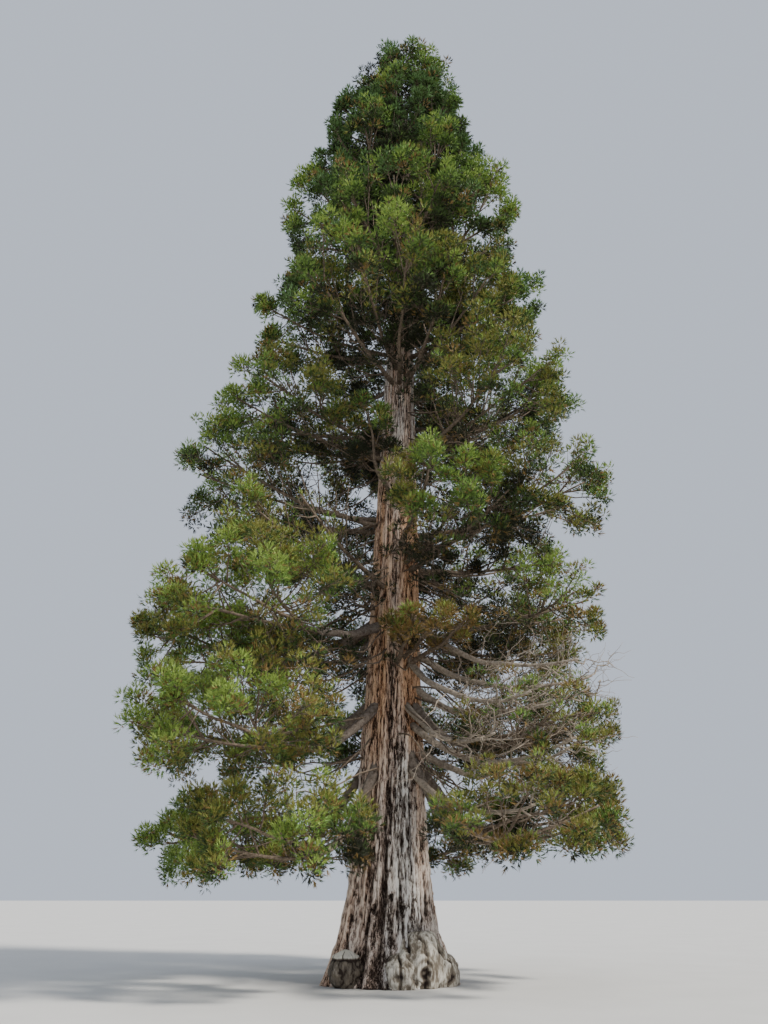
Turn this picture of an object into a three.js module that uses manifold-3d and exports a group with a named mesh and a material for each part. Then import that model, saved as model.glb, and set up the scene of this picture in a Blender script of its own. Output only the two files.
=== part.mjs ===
// A planted giant sequoia as separate solids: the whole trunk with its flared, burled foot, the main
// boughs of the lower crown, and the masses of foliage that make up the crown.
// Millimetres, +Z up. The origin is on the flat cut at ground level, on the trunk's axis.
// Headings are in degrees round the trunk: 0 is +X, 90 is +Y, and the crown's front is at 270.
import * as THREE from 'three';
import { mergeVertices } from 'three/addons/utils/BufferGeometryUtils.js';
import Module from 'manifold-3d';

const wasm = await Module();
wasm.setup();

// Trunk: a straight taper that would come to a point at TAPER_END, with a flare that dies away upwards
const TRUNK_TOP = 23200;
const TAPER_RADIUS = 780;
const TAPER_END = 26000;
const FLARE_RADIUS = 500;
const FLARE_HEIGHT = 1100;
const LEAN = 0.026;
const TRUNK_SIDES = 24;
const TRUNK_RINGS = 18;
const RING_CROWDING = 2.1;
const BUTTRESS_DEPTH = 0.085;
const BUTTRESS_HEIGHT = 2400;
const BUTTRESS_LOBES = [
  { count: 5, share: 1, turn: 0.9 },
  { count: 3, share: 0.6, turn: -1.2 },
  { count: 8, share: 0.5, turn: 2.1 },
];

// Knots of swollen wood at the foot: heading, distance of the centre from the axis, height of the
// centre, and the three half-sizes along the heading, across it and upwards
const BURLS = [
  { heading: 308, out: 960, up: 330, size: [520, 560, 640] },
  { heading: 284, out: 1090, up: 200, size: [380, 400, 420] },
  { heading: 333, out: 1130, up: 160, size: [380, 420, 430] },
  { heading: 231, out: 1200, up: 260, size: [330, 350, 340] },
];

// Tiers of the crown, from the ground up. foot is the height at which boughs leave the trunk, and pad
// the height of the middle of the foliage; reach is the crown's radius there. half holds a mass's
// half-sizes outwards, sideways and upwards, and twigs is how many main twigs its stem bears. Each mass
// has its heading and its rise above the pad, and scales holds the factor on the reach and size of those
// that fall short of the tier's, by their place in it. A tier with no foot has its stems on the trunk.
// thin is the heading of a mass with no dense heart.
const TIERS = [
  { name: 'skirt', foot: 4000, pad: 2700, reach: 5300, half: [1750, 2150, 1150], twigs: 7,
    headings: [234, 314, 0, 80, 165], rises: [-150, 150, 300, 0, -100], thin: 314 },
  { name: 'lower', foot: 5400, pad: 4900, reach: 5900, half: [1950, 2450, 1450], twigs: 8,
    headings: [226, 330, 20, 90, 158], rises: [-450, -300, 0, 200, 0], scales: { 1: 0.85 }, thin: 330 },
  { name: 'sprout', foot: 0, pad: 6550, reach: 3150, half: [900, 1050, 600], twigs: 5,
    headings: [292], rises: [0], thin: 292 },
  { name: 'waist', foot: 7300, pad: 7100, reach: 5850, half: [1900, 2350, 1350], twigs: 8,
    headings: [184, 228, 345, 40, 112], rises: [-500, -300, 100, 0, 200], scales: { 2: 0.9 }, thin: 345 },
  { name: 'middle', foot: 0, pad: 9700, reach: 5500, half: [2000, 2350, 1650], twigs: 8,
    headings: [182, 226, 297, 345, 45, 115], rises: [1000, -1200, -500, 300, -200, 300],
    scales: { 1: 0.82, 2: 0.8 } },
  { name: 'shoulder', foot: 0, pad: 12600, reach: 5000, half: [2000, 2350, 1700], twigs: 8,
    headings: [198, 326, 18, 74, 134], rises: [-400, -200, 700, 0, 200], scales: { 0: 0.9 } },
  { name: 'high', foot: 0, pad: 15150, reach: 4450, half: [1850, 2150, 1750], twigs: 8,
    headings: [190, 254, 307, 0, 95], rises: [200, -300, -500, 750, 0],
    scales: { 0: 0.88, 2: 0.95, 3: 0.93 } },
  { name: 'neck', foot: 0, pad: 18100, reach: 3700, half: [1700, 2100, 1750], twigs: 8,
    headings: [192, 265, 345, 80], rises: [600, -500, 400, 0], scales: { 0: 0.93 } },
  { name: 'crown', foot: 0, pad: 20600, reach: 3000, half: [1500, 1950, 1700], twigs: 8,
    headings: [215, 325, 90], rises: [200, -300, 0], scales: { 0: 0.9, 1: 0.93 } },
  { name: 'cap', foot: 0, pad: 22650, reach: 2250, half: [1200, 1600, 1450], twigs: 8,
    headings: [165, 285, 45], rises: [400, -200, 200] },
];
const REACH_SCATTER = 0.03;
const WIDER_LEFT = 0.05;
const FOOT_SCATTER = 250;
// The mass that grows on from the tip of the trunk
const LEADER = { name: 'leader_foliage', pad: 24500, half: [1500, 1500, 1700], twigs: 10 };

// Spaces kept between solids
const SEAT_GAP = 0.3;
const TWIG_GAP = 12;

// A bough leaves the trunk from inside it, sags and lifts to its tip just inside its mass
const BOUGH_FOOT_RADIUS = 105;
const BOUGH_TIP_RADIUS = 48;
const BOUGH_SIDES = 6;
const BOUGH_STEPS = 3;
const BOUGH_DEPTH = 0.7;
const BOUGH_RISE = 0.5;
const BOUGH_BEND = 0.6;
const BOUGH_SAG = 0.06;
const BOUGH_TIP_AIM = new THREE.Vector3(-0.72, 0, -0.25);

// Stems, and the heart of a mass. Shares are of the way from the middle of a mass to its limit.
const STEM_RADIUS = 46;
const STEM_BEND = 0.4;
const STEM_END_AIM = new THREE.Vector3(0.6, 0, 0.1);
const STEM_START_RISE = -0.6;
const CORE_SHARE = 0.6;
const HEART_SHARE = 0.7;

// Twigs: where along the stem they leave it, how they climb and turn, and where their sprays are rooted
const TWIG_RADIUS = 30;
const LEAVE_MIDDLE = 0.62;
const LEAVE_RANGE = 0.3;
const LOWEST_CLIMB = -0.78;
const CLIMB_RANGE = 1.7;
const CLIMB_SCATTER = 0.08;
const TURN_SCATTER = 0.25;
const GOLDEN_TURN = Math.PI * (3 - Math.sqrt(5));
const HIDDEN_SHARE = 0.3;
const FORK_SHARE = 0.25;
const SIDE_SHARE = 0.96;
const SIDE_TURN = 0.85;

// A spray is a three-sided twig that widens into a toothed blade. Shares of its whole length: where the
// blade starts, where its teeth and its notches lie, and its half-width and half-thickness.
const NECK = 0.3;
const TOOTH = 0.62;
const NOTCH = 0.74;
const HALF_WIDTH = 0.45;
const NOTCH_DEPTH = 0.5;
const HALF_THICKNESS = 0.06;
const SPRAY_ROLL = 0.8;
const ROLL_SCATTER = 0.3;

// Each kind of choice that a mass makes has its own run of numbers for the same seed
const REACH_CHOICE = 1;
const FOOT_CHOICE = 2;
const CORE_CHOICE = 3;
const CLIMB_CHOICE = 100;
const TURN_CHOICE = 200;
const ROLL_CHOICE = 300;

const UP = new THREE.Vector3(0, 0, 1);

const BARK = new THREE.MeshStandardMaterial({ color: 0x7a5a48, roughness: 0.95, metalness: 0 });
const LIMB_BARK = new THREE.MeshStandardMaterial({ color: 0x6e6258, roughness: 0.95, metalness: 0 });
const GREEN = new THREE.MeshStandardMaterial({ color: 0x5a7038, roughness: 0.85, metalness: 0 });

// A repeatable number from 0 to 1: the k-th choice made with a seed.
function chance(seed, k) {
  let h = Math.imul(seed + 1, 0x9e3779b1) ^ Math.imul(k + 1, 0x85ebca6b);
  h = Math.imul(h ^ (h >>> 15), 0x2c1b3c6d);
  h = Math.imul(h ^ (h >>> 12), 0x297a2d39);
  return ((h ^ (h >>> 15)) >>> 0) / 4294967296;
}

// The same, spread evenly about zero from -size to size.
function jitter(seed, k, size) {
  return size * (2 * chance(seed, k) - 1);
}

function outward(heading) {
  const angle = THREE.MathUtils.degToRad(heading);
  return new THREE.Vector3(Math.cos(angle), Math.sin(angle), 0);
}

// The closed solid that a geometry's faces bound.
function solidOf(geometry) {
  const bare = new THREE.BufferGeometry().setAttribute('position', geometry.getAttribute('position'));
  if (geometry.index) bare.setIndex(geometry.index);
  const merged = mergeVertices(bare, 1e-3);
  return new wasm.Manifold(new wasm.Mesh({
    numProp: 3,
    vertProperties: new Float32Array(merged.getAttribute('position').array),
    triVerts: new Uint32Array(merged.index.array),
  }));
}

function geometryOf(solid) {
  const mesh = solid.getMesh();
  const geometry = new THREE.BufferGeometry();
  geometry.setAttribute('position', new THREE.BufferAttribute(mesh.vertProperties, 3));
  geometry.setIndex(new THREE.BufferAttribute(mesh.triVerts, 1));
  geometry.computeVertexNormals();
  return geometry;
}

// The largest body of a solid, without loose scraps and with any sealed hollow filled.
function mainBody(solid) {
  return solid.decompose().reduce((best, body) => (body.volume() > best.volume() ? body : best));
}

function overlap(a, b) {
  return !a.intersect(b).isEmpty();
}

// Whether two solids come nearer to each other than the gap kept for twigs.
function crowd(a, b) {
  const [p, q] = [a.boundingBox(), b.boundingBox()];
  const apart = [0, 1, 2].some((i) => p.min[i] > q.max[i] + TWIG_GAP || q.min[i] > p.max[i] + TWIG_GAP);
  return !apart && a.minGap(b, TWIG_GAP) < TWIG_GAP;
}

// Moves each corner of a geometry by a function of its place.
function reshape(geometry, place) {
  const position = geometry.getAttribute('position');
  const point = new THREE.Vector3();
  for (let i = 0; i < position.count; i++) {
    point.fromBufferAttribute(position, i);
    place(point);
    position.setXYZ(i, point.x, point.y, point.z);
  }
  return geometry;
}

function trunkAxis(z) {
  return new THREE.Vector3(LEAN * z, 0, z);
}

function trunkRadius(z) {
  return TAPER_RADIUS * (1 - z / TAPER_END) + FLARE_RADIUS * Math.exp(-z / FLARE_HEIGHT);
}

// Buttresses: broad lobes round the foot that fade with height.
function buttress(angle, z) {
  const lobes = BUTTRESS_LOBES
    .reduce((sum, { count, share, turn }) => sum + share * Math.cos(count * angle + turn), 0);
  return 1 + BUTTRESS_DEPTH * lobes * Math.exp(-z / BUTTRESS_HEIGHT);
}

// The tapering trunk without its burls, wider all round by grown. Its rings are closest at the foot.
function taperSolid(grown) {
  const tube = new THREE.CylinderGeometry(1, 1, 1, TRUNK_SIDES, TRUNK_RINGS);
  reshape(tube, (p) => {
    const z = TRUNK_TOP * Math.pow(p.y + 0.5, RING_CROWDING);
    const angle = Math.atan2(-p.z, p.x);
    const radius = (trunkRadius(z) * buttress(angle, z) + grown) * Math.hypot(p.x, p.z);
    p.copy(trunkAxis(z)).add(new THREE.Vector3(Math.cos(angle) * radius, Math.sin(angle) * radius, 0));
  });
  return solidOf(tube);
}

function burlSolid(burl, grown) {
  const ball = new THREE.IcosahedronGeometry(1, 1);
  ball.scale(...burl.size.map((half) => half + grown));
  ball.rotateZ(THREE.MathUtils.degToRad(burl.heading));
  const centre = outward(burl.heading).multiplyScalar(burl.out);
  ball.translate(centre.x, centre.y, burl.up);
  return solidOf(ball);
}

// The trunk with its burls, cut flat at the ground; grown, it is the sheath that limbs are cut to.
function trunkSolid(grown) {
  const below = new THREE.BoxGeometry(6000, 6000, 2000).translate(0, 0, -1000);
  return BURLS.map((burl) => burlSolid(burl, grown))
    .reduce((whole, burl) => whole.add(burl), taperSolid(grown))
    .subtract(solidOf(below));
}

// A round limb along a curve: a cylinder bent so that its axis is the curve, evenly tapered.
function limbSolid(curve, footRadius, tipRadius, sides, steps) {
  const tube = new THREE.CylinderGeometry(1, 1, 1, sides, steps);
  const side = new THREE.Vector3();
  const over = new THREE.Vector3();
  reshape(tube, (p) => {
    const t = THREE.MathUtils.clamp(p.y + 0.5, 0, 1);
    const along = curve.getTangent(t);
    const level = Math.abs(along.z) > 0.9 ? new THREE.Vector3(1, 0, 0) : UP;
    side.crossVectors(level, along).normalize();
    over.crossVectors(side, along);
    const radius = THREE.MathUtils.lerp(footRadius, tipRadius, t);
    const [a, b] = [p.x * radius, p.z * radius];
    p.copy(curve.getPoint(t)).addScaledVector(side, a).addScaledVector(over, b);
  });
  return solidOf(tube);
}

// One spray of needles, of twelve corners and twenty faces, from its root to its tip. Its flat side is
// turned from the level by roll.
function sprayGeometry(root, tip, roll) {
  const length = root.distanceTo(tip);
  const along = tip.clone().sub(root).normalize();
  const side = new THREE.Vector3().crossVectors(UP, along).normalize().applyAxisAngle(along, roll);
  const over = new THREE.Vector3().crossVectors(along, side);
  const at = (a, s, o) => root.clone().addScaledVector(along, a * length)
    .addScaledVector(side, s).addScaledVector(over, o);
  const [r, w, t] = [TWIG_RADIUS, HALF_WIDTH * length, HALF_THICKNESS * length];
  const rim = [[0, r], [NECK, r], [TOOTH, w], [NOTCH, w * NOTCH_DEPTH], [1, 0],
    [NOTCH, -w * NOTCH_DEPTH], [TOOTH, -w], [NECK, -r], [0, -r]];
  const [top, bottom, keel] = [rim.length, rim.length + 1, rim.length + 2];
  const faces = [[0, keel, 8], [0, 8, 7], [0, 7, 1], [1, 7, top],
    [0, 1, keel], [1, bottom, keel], [7, keel, bottom], [8, keel, 7]];
  for (let i = 1; i < 7; i++) faces.push([i, top, i + 1], [i + 1, bottom, i]);
  const points = rim.map(([a, s]) => at(a, s, 0)).concat(at(TOOTH, 0, t), at(TOOTH, 0, -t), at(0, 0, -r));
  return new THREE.BufferGeometry().setFromPoints(points).setIndex(faces.flat());
}

// The place in a mass that an aim points at, at a share of the way to the mass's limit. A mass has a
// middle, three half-sizes, and three axes: outwards, sideways and upwards.
function placeIn(mass, aim, share) {
  return mass.middle.clone()
    .addScaledVector(mass.axes[0], aim.x * mass.half[0] * share)
    .addScaledVector(mass.axes[1], aim.y * mass.half[1] * share)
    .addScaledVector(mass.axes[2], aim.z * mass.half[2] * share);
}

// How far a point lies from the middle of a mass, as a share of the way to its limit.
function shareOf(mass, point) {
  const offset = point.clone().sub(mass.middle);
  return Math.hypot(...mass.axes.map((axis, i) => offset.dot(axis) / mass.half[i]));
}

// Whether a spray keeps to the space of its mass: no corner lies in the heart of another mass.
function keepsToSpace(geometry, others) {
  const position = geometry.getAttribute('position');
  const point = new THREE.Vector3();
  for (let i = 0; i < position.count; i++) {
    point.fromBufferAttribute(position, i);
    if (others.some((other) => shareOf(other, point) < HEART_SHARE)) return false;
  }
  return true;
}

// The stem runs on from its root the way the bough points, then bends to the far side of its mass.
function stemCurve(mass) {
  const end = placeIn(mass, STEM_END_AIM, 1);
  const bend = mass.root.clone().addScaledVector(mass.start, STEM_BEND * mass.root.distanceTo(end));
  return new THREE.QuadraticBezierCurve3(mass.root, bend, end);
}

// The dense heart of a mass, a rough ball that its twigs stand out of.
function coreSolid(mass) {
  const core = new THREE.IcosahedronGeometry(1, 0);
  core.rotateZ(chance(mass.seed, CORE_CHOICE) * Math.PI);
  return solidOf(reshape(core, (p) => p.copy(placeIn(mass, p, CORE_SHARE))));
}

// The rule of growth. The aims of the twigs turn by the golden angle while they climb from below the
// middle of the mass to above it. Each twig leaves the stem where its aim is nearest.
function twigAim(mass, k) {
  const step = (k + 0.5) / mass.twigs;
  const climb = LOWEST_CLIMB + CLIMB_RANGE * step + jitter(mass.seed, CLIMB_CHOICE + k, CLIMB_SCATTER);
  const turn = GOLDEN_TURN * k + jitter(mass.seed, TURN_CHOICE + k, TURN_SCATTER);
  const flat = Math.sqrt(1 - climb * climb);
  return new THREE.Vector3(flat * Math.cos(turn), flat * Math.sin(turn), climb);
}

// A mass: its stem, its heart if it is dense, and for each twig a spray at its end and one at its side.
// A spray that would leave the space, crowd a limb or another mass, or cross another spray is skipped.
function massSolid(mass, others, obstacles) {
  const curve = stemCurve(mass);
  const stem = limbSolid(curve, STEM_RADIUS, 0, 3, 2);
  const wood = mass.onTrunk ? [mainBody(stem.subtract(sheath))] : [stem];
  if (mass.core) wood.push(mass.core);
  const sprays = [];
  const grow = (root, tip, roll, parent) => {
    const geometry = sprayGeometry(root, tip, roll);
    if (!keepsToSpace(geometry, others)) return null;
    const spray = solidOf(geometry);
    if (obstacles.some((solid) => crowd(spray, solid))) return null;
    if (sprays.some((other) => other !== parent && overlap(other, spray))) return null;
    sprays.push(spray);
    return spray;
  };
  for (let k = 0; k < mass.twigs; k++) {
    const aim = twigAim(mass, k);
    const hand = k % 2 ? 1 : -1;
    const roll = hand * SPRAY_ROLL + jitter(mass.seed, ROLL_CHOICE + k, ROLL_SCATTER);
    const leave = curve.getPoint(LEAVE_MIDDLE + LEAVE_RANGE * aim.x);
    const tip = placeIn(mass, aim, 1);
    const root = mass.core ? leave.clone().lerp(tip, HIDDEN_SHARE) : leave;
    const main = grow(root, tip, roll, null);
    const sideTip = placeIn(mass, aim.clone().applyAxisAngle(UP, hand * SIDE_TURN), SIDE_SHARE);
    if (mass.core) grow(leave.clone().lerp(sideTip, HIDDEN_SHARE), sideTip, -roll, null);
    else if (main) grow(root.clone().lerp(tip, FORK_SHARE), sideTip, -roll, main);
  }
  return mainBody(wasm.Manifold.union([...wood, ...sprays]));
}

// Where a mass of a tier lies.
function massAt(tier, i, seed) {
  const heading = tier.headings[i];
  const axes = [outward(heading), outward(heading + 90), UP.clone()];
  const scale = tier.scales?.[i] ?? 1;
  const scatter = jitter(seed, REACH_CHOICE, REACH_SCATTER);
  const reach = tier.reach * scale * (1 + scatter - WIDER_LEFT * axes[0].x);
  const half = tier.half.map((size) => size * scale);
  const middle = trunkAxis(tier.pad + tier.rises[i]).addScaledVector(axes[0], reach - half[0]);
  const name = `${tier.name}_foliage_${i + 1}`;
  const mass = { name, seed, axes, middle, half, twigs: tier.twigs };
  if (heading !== tier.thin) mass.core = coreSolid(mass);
  return mass;
}

// The bough that carries a mass, and the mass's own stem set on its tip.
function carry(tier, i, mass) {
  const height = tier.foot + BOUGH_RISE * tier.rises[i] + jitter(mass.seed, FOOT_CHOICE, FOOT_SCATTER);
  const foot = trunkAxis(height).addScaledVector(mass.axes[0], trunkRadius(height) * BOUGH_DEPTH);
  const tip = placeIn(mass, BOUGH_TIP_AIM, 1);
  const sag = new THREE.Vector3().lerpVectors(foot, tip, BOUGH_BEND);
  sag.z = Math.min(foot.z, tip.z) - BOUGH_SAG * foot.distanceTo(tip);
  const curve = new THREE.QuadraticBezierCurve3(foot, sag, tip);
  const limb = limbSolid(curve, BOUGH_FOOT_RADIUS, BOUGH_TIP_RADIUS, BOUGH_SIDES, BOUGH_STEPS);
  mass.start = curve.getTangent(1);
  mass.root = tip.clone().addScaledVector(mass.start, SEAT_GAP);
  return mainBody(limb.subtract(sheath));
}

// A stem straight on the trunk starts on the trunk's axis, a little below its mass.
function seatOnTrunk(mass) {
  mass.onTrunk = true;
  mass.start = mass.axes[0];
  mass.root = trunkAxis(mass.middle.z + STEM_START_RISE * mass.half[2]);
}

// The mass on the trunk's tip, whose stem goes straight on upwards.
function leaderMass(seed) {
  const mass = { name: LEADER.name, seed, half: LEADER.half, twigs: LEADER.twigs, start: UP };
  mass.axes = [outward(0), outward(90), UP.clone()];
  mass.middle = trunkAxis(LEADER.pad);
  mass.root = trunkAxis(TRUNK_TOP).addScaledVector(UP, SEAT_GAP);
  mass.core = coreSolid(mass);
  return mass;
}

const tree = new THREE.Group();
function addNode(name, solid, material) {
  const mesh = new THREE.Mesh(geometryOf(solid), material);
  mesh.name = name;
  tree.add(mesh);
}

const sheath = trunkSolid(SEAT_GAP);
const masses = [];
const boughs = [];
for (const tier of TIERS) {
  tier.headings.forEach((_, i) => {
    const mass = massAt(tier, i, masses.length + 1);
    masses.push(mass);
    if (tier.foot) boughs.push({ name: `${tier.name}_bough_${i + 1}`, solid: carry(tier, i, mass) });
    else seatOnTrunk(mass);
  });
}
masses.push(leaderMass(masses.length + 1));

addNode('trunk', trunkSolid(0), BARK);
boughs.forEach(({ name, solid }) => addNode(name, solid, LIMB_BARK));
const grown = [];
for (const mass of masses) {
  const others = masses.filter((other) => other !== mass);
  const cores = others.filter(({ core }) => core).map(({ core }) => core);
  const solid = massSolid(mass, others, [sheath, ...boughs.map((bough) => bough.solid), ...cores, ...grown]);
  grown.push(solid);
  addNode(mass.name, solid, GREEN);
}

export default tree;
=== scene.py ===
"""The looks of a planted giant sequoia: furrowed bark, burled foot, limbs, twigs and sprays of needles.

Metres, +Z up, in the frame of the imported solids. Headings are in degrees round the trunk: 0 is +X, 90 is
+Y, and the crown's front is at 270. The solids' rule of growth is written again here and carried on to
finer twigs: mass, limb, pad, sprig, spray, needle.
"""

import logging
import math
from dataclasses import dataclass, field
from enum import Enum

import bpy
import numpy as np
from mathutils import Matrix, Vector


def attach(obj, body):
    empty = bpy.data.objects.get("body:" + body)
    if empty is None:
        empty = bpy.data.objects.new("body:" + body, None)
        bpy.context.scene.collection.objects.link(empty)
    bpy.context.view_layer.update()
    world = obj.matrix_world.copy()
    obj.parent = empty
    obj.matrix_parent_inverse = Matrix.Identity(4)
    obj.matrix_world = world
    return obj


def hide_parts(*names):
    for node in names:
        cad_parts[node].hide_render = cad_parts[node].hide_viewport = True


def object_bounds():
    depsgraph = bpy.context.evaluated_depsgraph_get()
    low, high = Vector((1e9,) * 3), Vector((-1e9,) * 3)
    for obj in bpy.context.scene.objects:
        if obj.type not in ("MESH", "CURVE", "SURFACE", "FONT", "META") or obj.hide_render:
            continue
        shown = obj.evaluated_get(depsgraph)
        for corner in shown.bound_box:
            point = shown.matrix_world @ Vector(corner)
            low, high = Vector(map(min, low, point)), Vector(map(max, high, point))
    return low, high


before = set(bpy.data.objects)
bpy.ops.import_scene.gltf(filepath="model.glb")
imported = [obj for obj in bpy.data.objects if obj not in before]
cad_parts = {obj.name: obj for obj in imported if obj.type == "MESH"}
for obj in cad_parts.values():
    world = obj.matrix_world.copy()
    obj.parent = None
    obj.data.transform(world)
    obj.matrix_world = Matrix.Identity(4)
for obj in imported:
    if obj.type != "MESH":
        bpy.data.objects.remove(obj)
SOLIDS_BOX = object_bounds()

log = logging.getLogger("sequoia")

Array = np.ndarray
Socket = bpy.types.NodeSocket
Material = bpy.types.Material
Triple = tuple[float, float, float]
Colour = tuple[float, float, float, float]

UP = np.array([0.0, 0.0, 1.0])
GOLDEN_TURN = math.pi * (3.0 - math.sqrt(5.0))


# Numbers that repeat


def hashed(seed: Array | int, k: Array | int) -> Array:
    """Repeatable numbers from 0 to 1, the same as the solids draw.

    Two multiplied integers are mixed by exclusive or, shifted and multiplied twice more, in 32 bits.

    Args:
        seed: Seed, or array of seeds.
        k: Which choice of that seed, or array of choices.

    Returns:
        Array of floats in [0, 1).
    """
    wide = np.uint64(0xFFFFFFFF)
    a = (np.asarray(seed, dtype=np.int64) + 1).astype(np.uint64)
    b = (np.asarray(k, dtype=np.int64) + 1).astype(np.uint64)
    h = ((a * np.uint64(0x9E3779B1)) & wide) ^ ((b * np.uint64(0x85EBCA6B)) & wide)
    h = ((h ^ (h >> np.uint64(15))) * np.uint64(0x2C1B3C6D)) & wide
    h = ((h ^ (h >> np.uint64(12))) * np.uint64(0x297A2D39)) & wide
    return (h ^ (h >> np.uint64(15))).astype(np.float64) / 4294967296.0


def jitter(seed: Array | int, k: Array | int, size: float) -> Array:
    """Repeatable numbers spread evenly from -size to size."""
    return size * (2.0 * hashed(seed, k) - 1.0)


def noise(points: Array, seed: int) -> Array:
    """Smooth noise from -1 to 1 at points in space.

    Each corner of a unit lattice has a hashed value; the eight round a point are blended along each axis
    by 3t^2 - 2t^3.

    Args:
        points: Array [..., 3].
        seed: Which noise.

    Returns:
        Array [...] of values.
    """
    low = np.floor(points).astype(np.int64)
    t = points - low
    t = t * t * (3.0 - 2.0 * t)
    total = np.zeros(points.shape[:-1])
    for corner in np.ndindex(2, 2, 2):
        cell = low + np.array(corner)
        key = (cell[..., 0] * 73856093) ^ (cell[..., 1] * 19349663) ^ (cell[..., 2] * 83492791)
        weight = np.prod(np.where(np.array(corner) == 1, t, 1.0 - t), axis=-1)
        total += weight * (2.0 * hashed(seed, np.abs(key) & 0x7FFFFFFF) - 1.0)
    return total


# Small geometry


def unit(v: Array) -> Array:
    """Vectors of length one with the directions of v [..., 3]."""
    return v / np.maximum(np.linalg.norm(v, axis=-1, keepdims=True), 1e-12)


def outward(heading: Array | float) -> Array:
    """Level unit vectors with the given headings in degrees."""
    angle = np.radians(heading)
    return np.stack([np.cos(angle), np.sin(angle), np.zeros_like(angle)], axis=-1)


def smoothstep(low: float, high: float, x: Array) -> Array:
    """0 below low, 1 above high and 3t^2 - 2t^3 between; high may be the smaller."""
    t = np.clip((x - low) / (high - low), 0.0, 1.0)
    return t * t * (3.0 - 2.0 * t)


def bell(x: Array, width: float) -> Array:
    """1 where x is zero, falling on either side as exp(-(x / width)^2)."""
    return np.exp(-((x / width) ** 2))


def turns(count: int) -> Array:
    """Even angles round a circle, in radians."""
    return np.arange(count) * (2.0 * math.pi / count)


def half_turned(angle: Array) -> Array:
    """The same angles in radians, brought to between -pi and pi."""
    return np.angle(np.exp(1j * angle))


def bezier(ends: Array, t: Array) -> Array:
    """Points on quadratic curves, (1-t)^2 a + 2t(1-t) b + t^2 c.

    Args:
        ends: Array [..., 3, 3] of start, bend and end.
        t: Array that broadcasts against [...], with one more axis at its end for the places along.

    Returns:
        Array [..., len(t), 3].
    """
    t = np.asarray(t)[..., None]
    a, b, c = (ends[..., None, i, :] for i in range(3))
    return (1.0 - t) ** 2 * a + 2.0 * t * (1.0 - t) * b + t**2 * c


def frames(along: Array, facing: Array) -> tuple[Array, Array]:
    """Side and face vectors square to along, with the face turned as near to facing as it can be.

    Args:
        along: Unit vectors [..., 3].
        facing: Vectors [..., 3] that the faces should look along.

    Returns:
        Side and face unit vectors; side x along gives the face.
    """
    side = np.cross(along, facing)
    weak = np.linalg.norm(side, axis=-1, keepdims=True) < 1e-3
    side = unit(np.where(weak, np.cross(along, np.array([0.31, 0.95, 0.05])), side))
    return side, np.cross(side, along)


def leaning(axis: Array, side: Array, over: Array, lean: Array, turn: Array) -> Array:
    """Unit vectors that lean away from an axis.

    A vector is cos lean axis + sin lean (cos turn side + sin turn over).

    Args:
        axis: Unit vectors [..., 3].
        side: Unit vectors square to axis.
        over: Unit vectors square to both.
        lean: Angles from the axis.
        turn: Angles round it.

    Returns:
        Array of the vectors, as all the others broadcast together.
    """
    return (
        np.cos(lean)[..., None] * axis
        + (np.sin(lean) * np.cos(turn))[..., None] * side
        + (np.sin(lean) * np.sin(turn))[..., None] * over
    )


@dataclass
class Shape:
    """Vertices and triangles, with an optional number per triangle and named numbers per vertex."""

    points: Array
    faces: Array
    which: Array | None = None
    marks: dict[str, Array] = field(default_factory=dict)


def joined(shapes: list[Shape]) -> Shape:
    """One shape from several, with their triangles' and vertices' numbers kept.

    Args:
        shapes: Shapes that have the same kinds of numbers.

    Returns:
        The shape, in the order of the list.
    """
    starts = np.cumsum([0] + [len(shape.points) for shape in shapes])
    which = None if shapes[0].which is None else np.concatenate([shape.which for shape in shapes])
    marks = {key: np.concatenate([shape.marks[key] for shape in shapes]) for key in shapes[0].marks}
    faces = np.concatenate([shape.faces + start for shape, start in zip(shapes, starts)])
    return Shape(np.concatenate([shape.points for shape in shapes]), faces, which, marks)


def ring_walls(rings: int, columns: int) -> Array:
    """Triangles of the wall between rings of points; they face out where the rings rise.

    Args:
        rings: Number of rings, whose points follow each other ring by ring.
        columns: Points of a ring, by growing angle.

    Returns:
        Array of corners' numbers [N, 3].
    """
    i = np.arange(columns)
    j = (i + 1) % columns
    low = np.arange(rings - 1)[:, None] * columns
    high = low + columns
    first = np.stack([low + i, low + j, high + j], axis=-1)
    second = np.stack([low + i, high + j, high + i], axis=-1)
    return np.concatenate([first.reshape(-1, 3), second.reshape(-1, 3)])


def closed_faces(rings: int, columns: int) -> Array:
    """Triangles of rings with a fan to a pole at either end; they face out where the rings rise.

    Args:
        rings: Number of rings. After their points comes the first ring's pole, then the last ring's.
        columns: Points of a ring, by growing angle.

    Returns:
        Array of corners' numbers [N, 3].
    """
    i = np.arange(columns)
    j = (i + 1) % columns
    last = (rings - 1) * columns
    pole = rings * columns
    foot = np.stack([np.full_like(i, pole), j, i], axis=-1)
    tip = np.stack([np.full_like(i, pole + 1), last + i, last + j], axis=-1)
    return np.concatenate([ring_walls(rings, columns), foot, tip])


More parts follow.
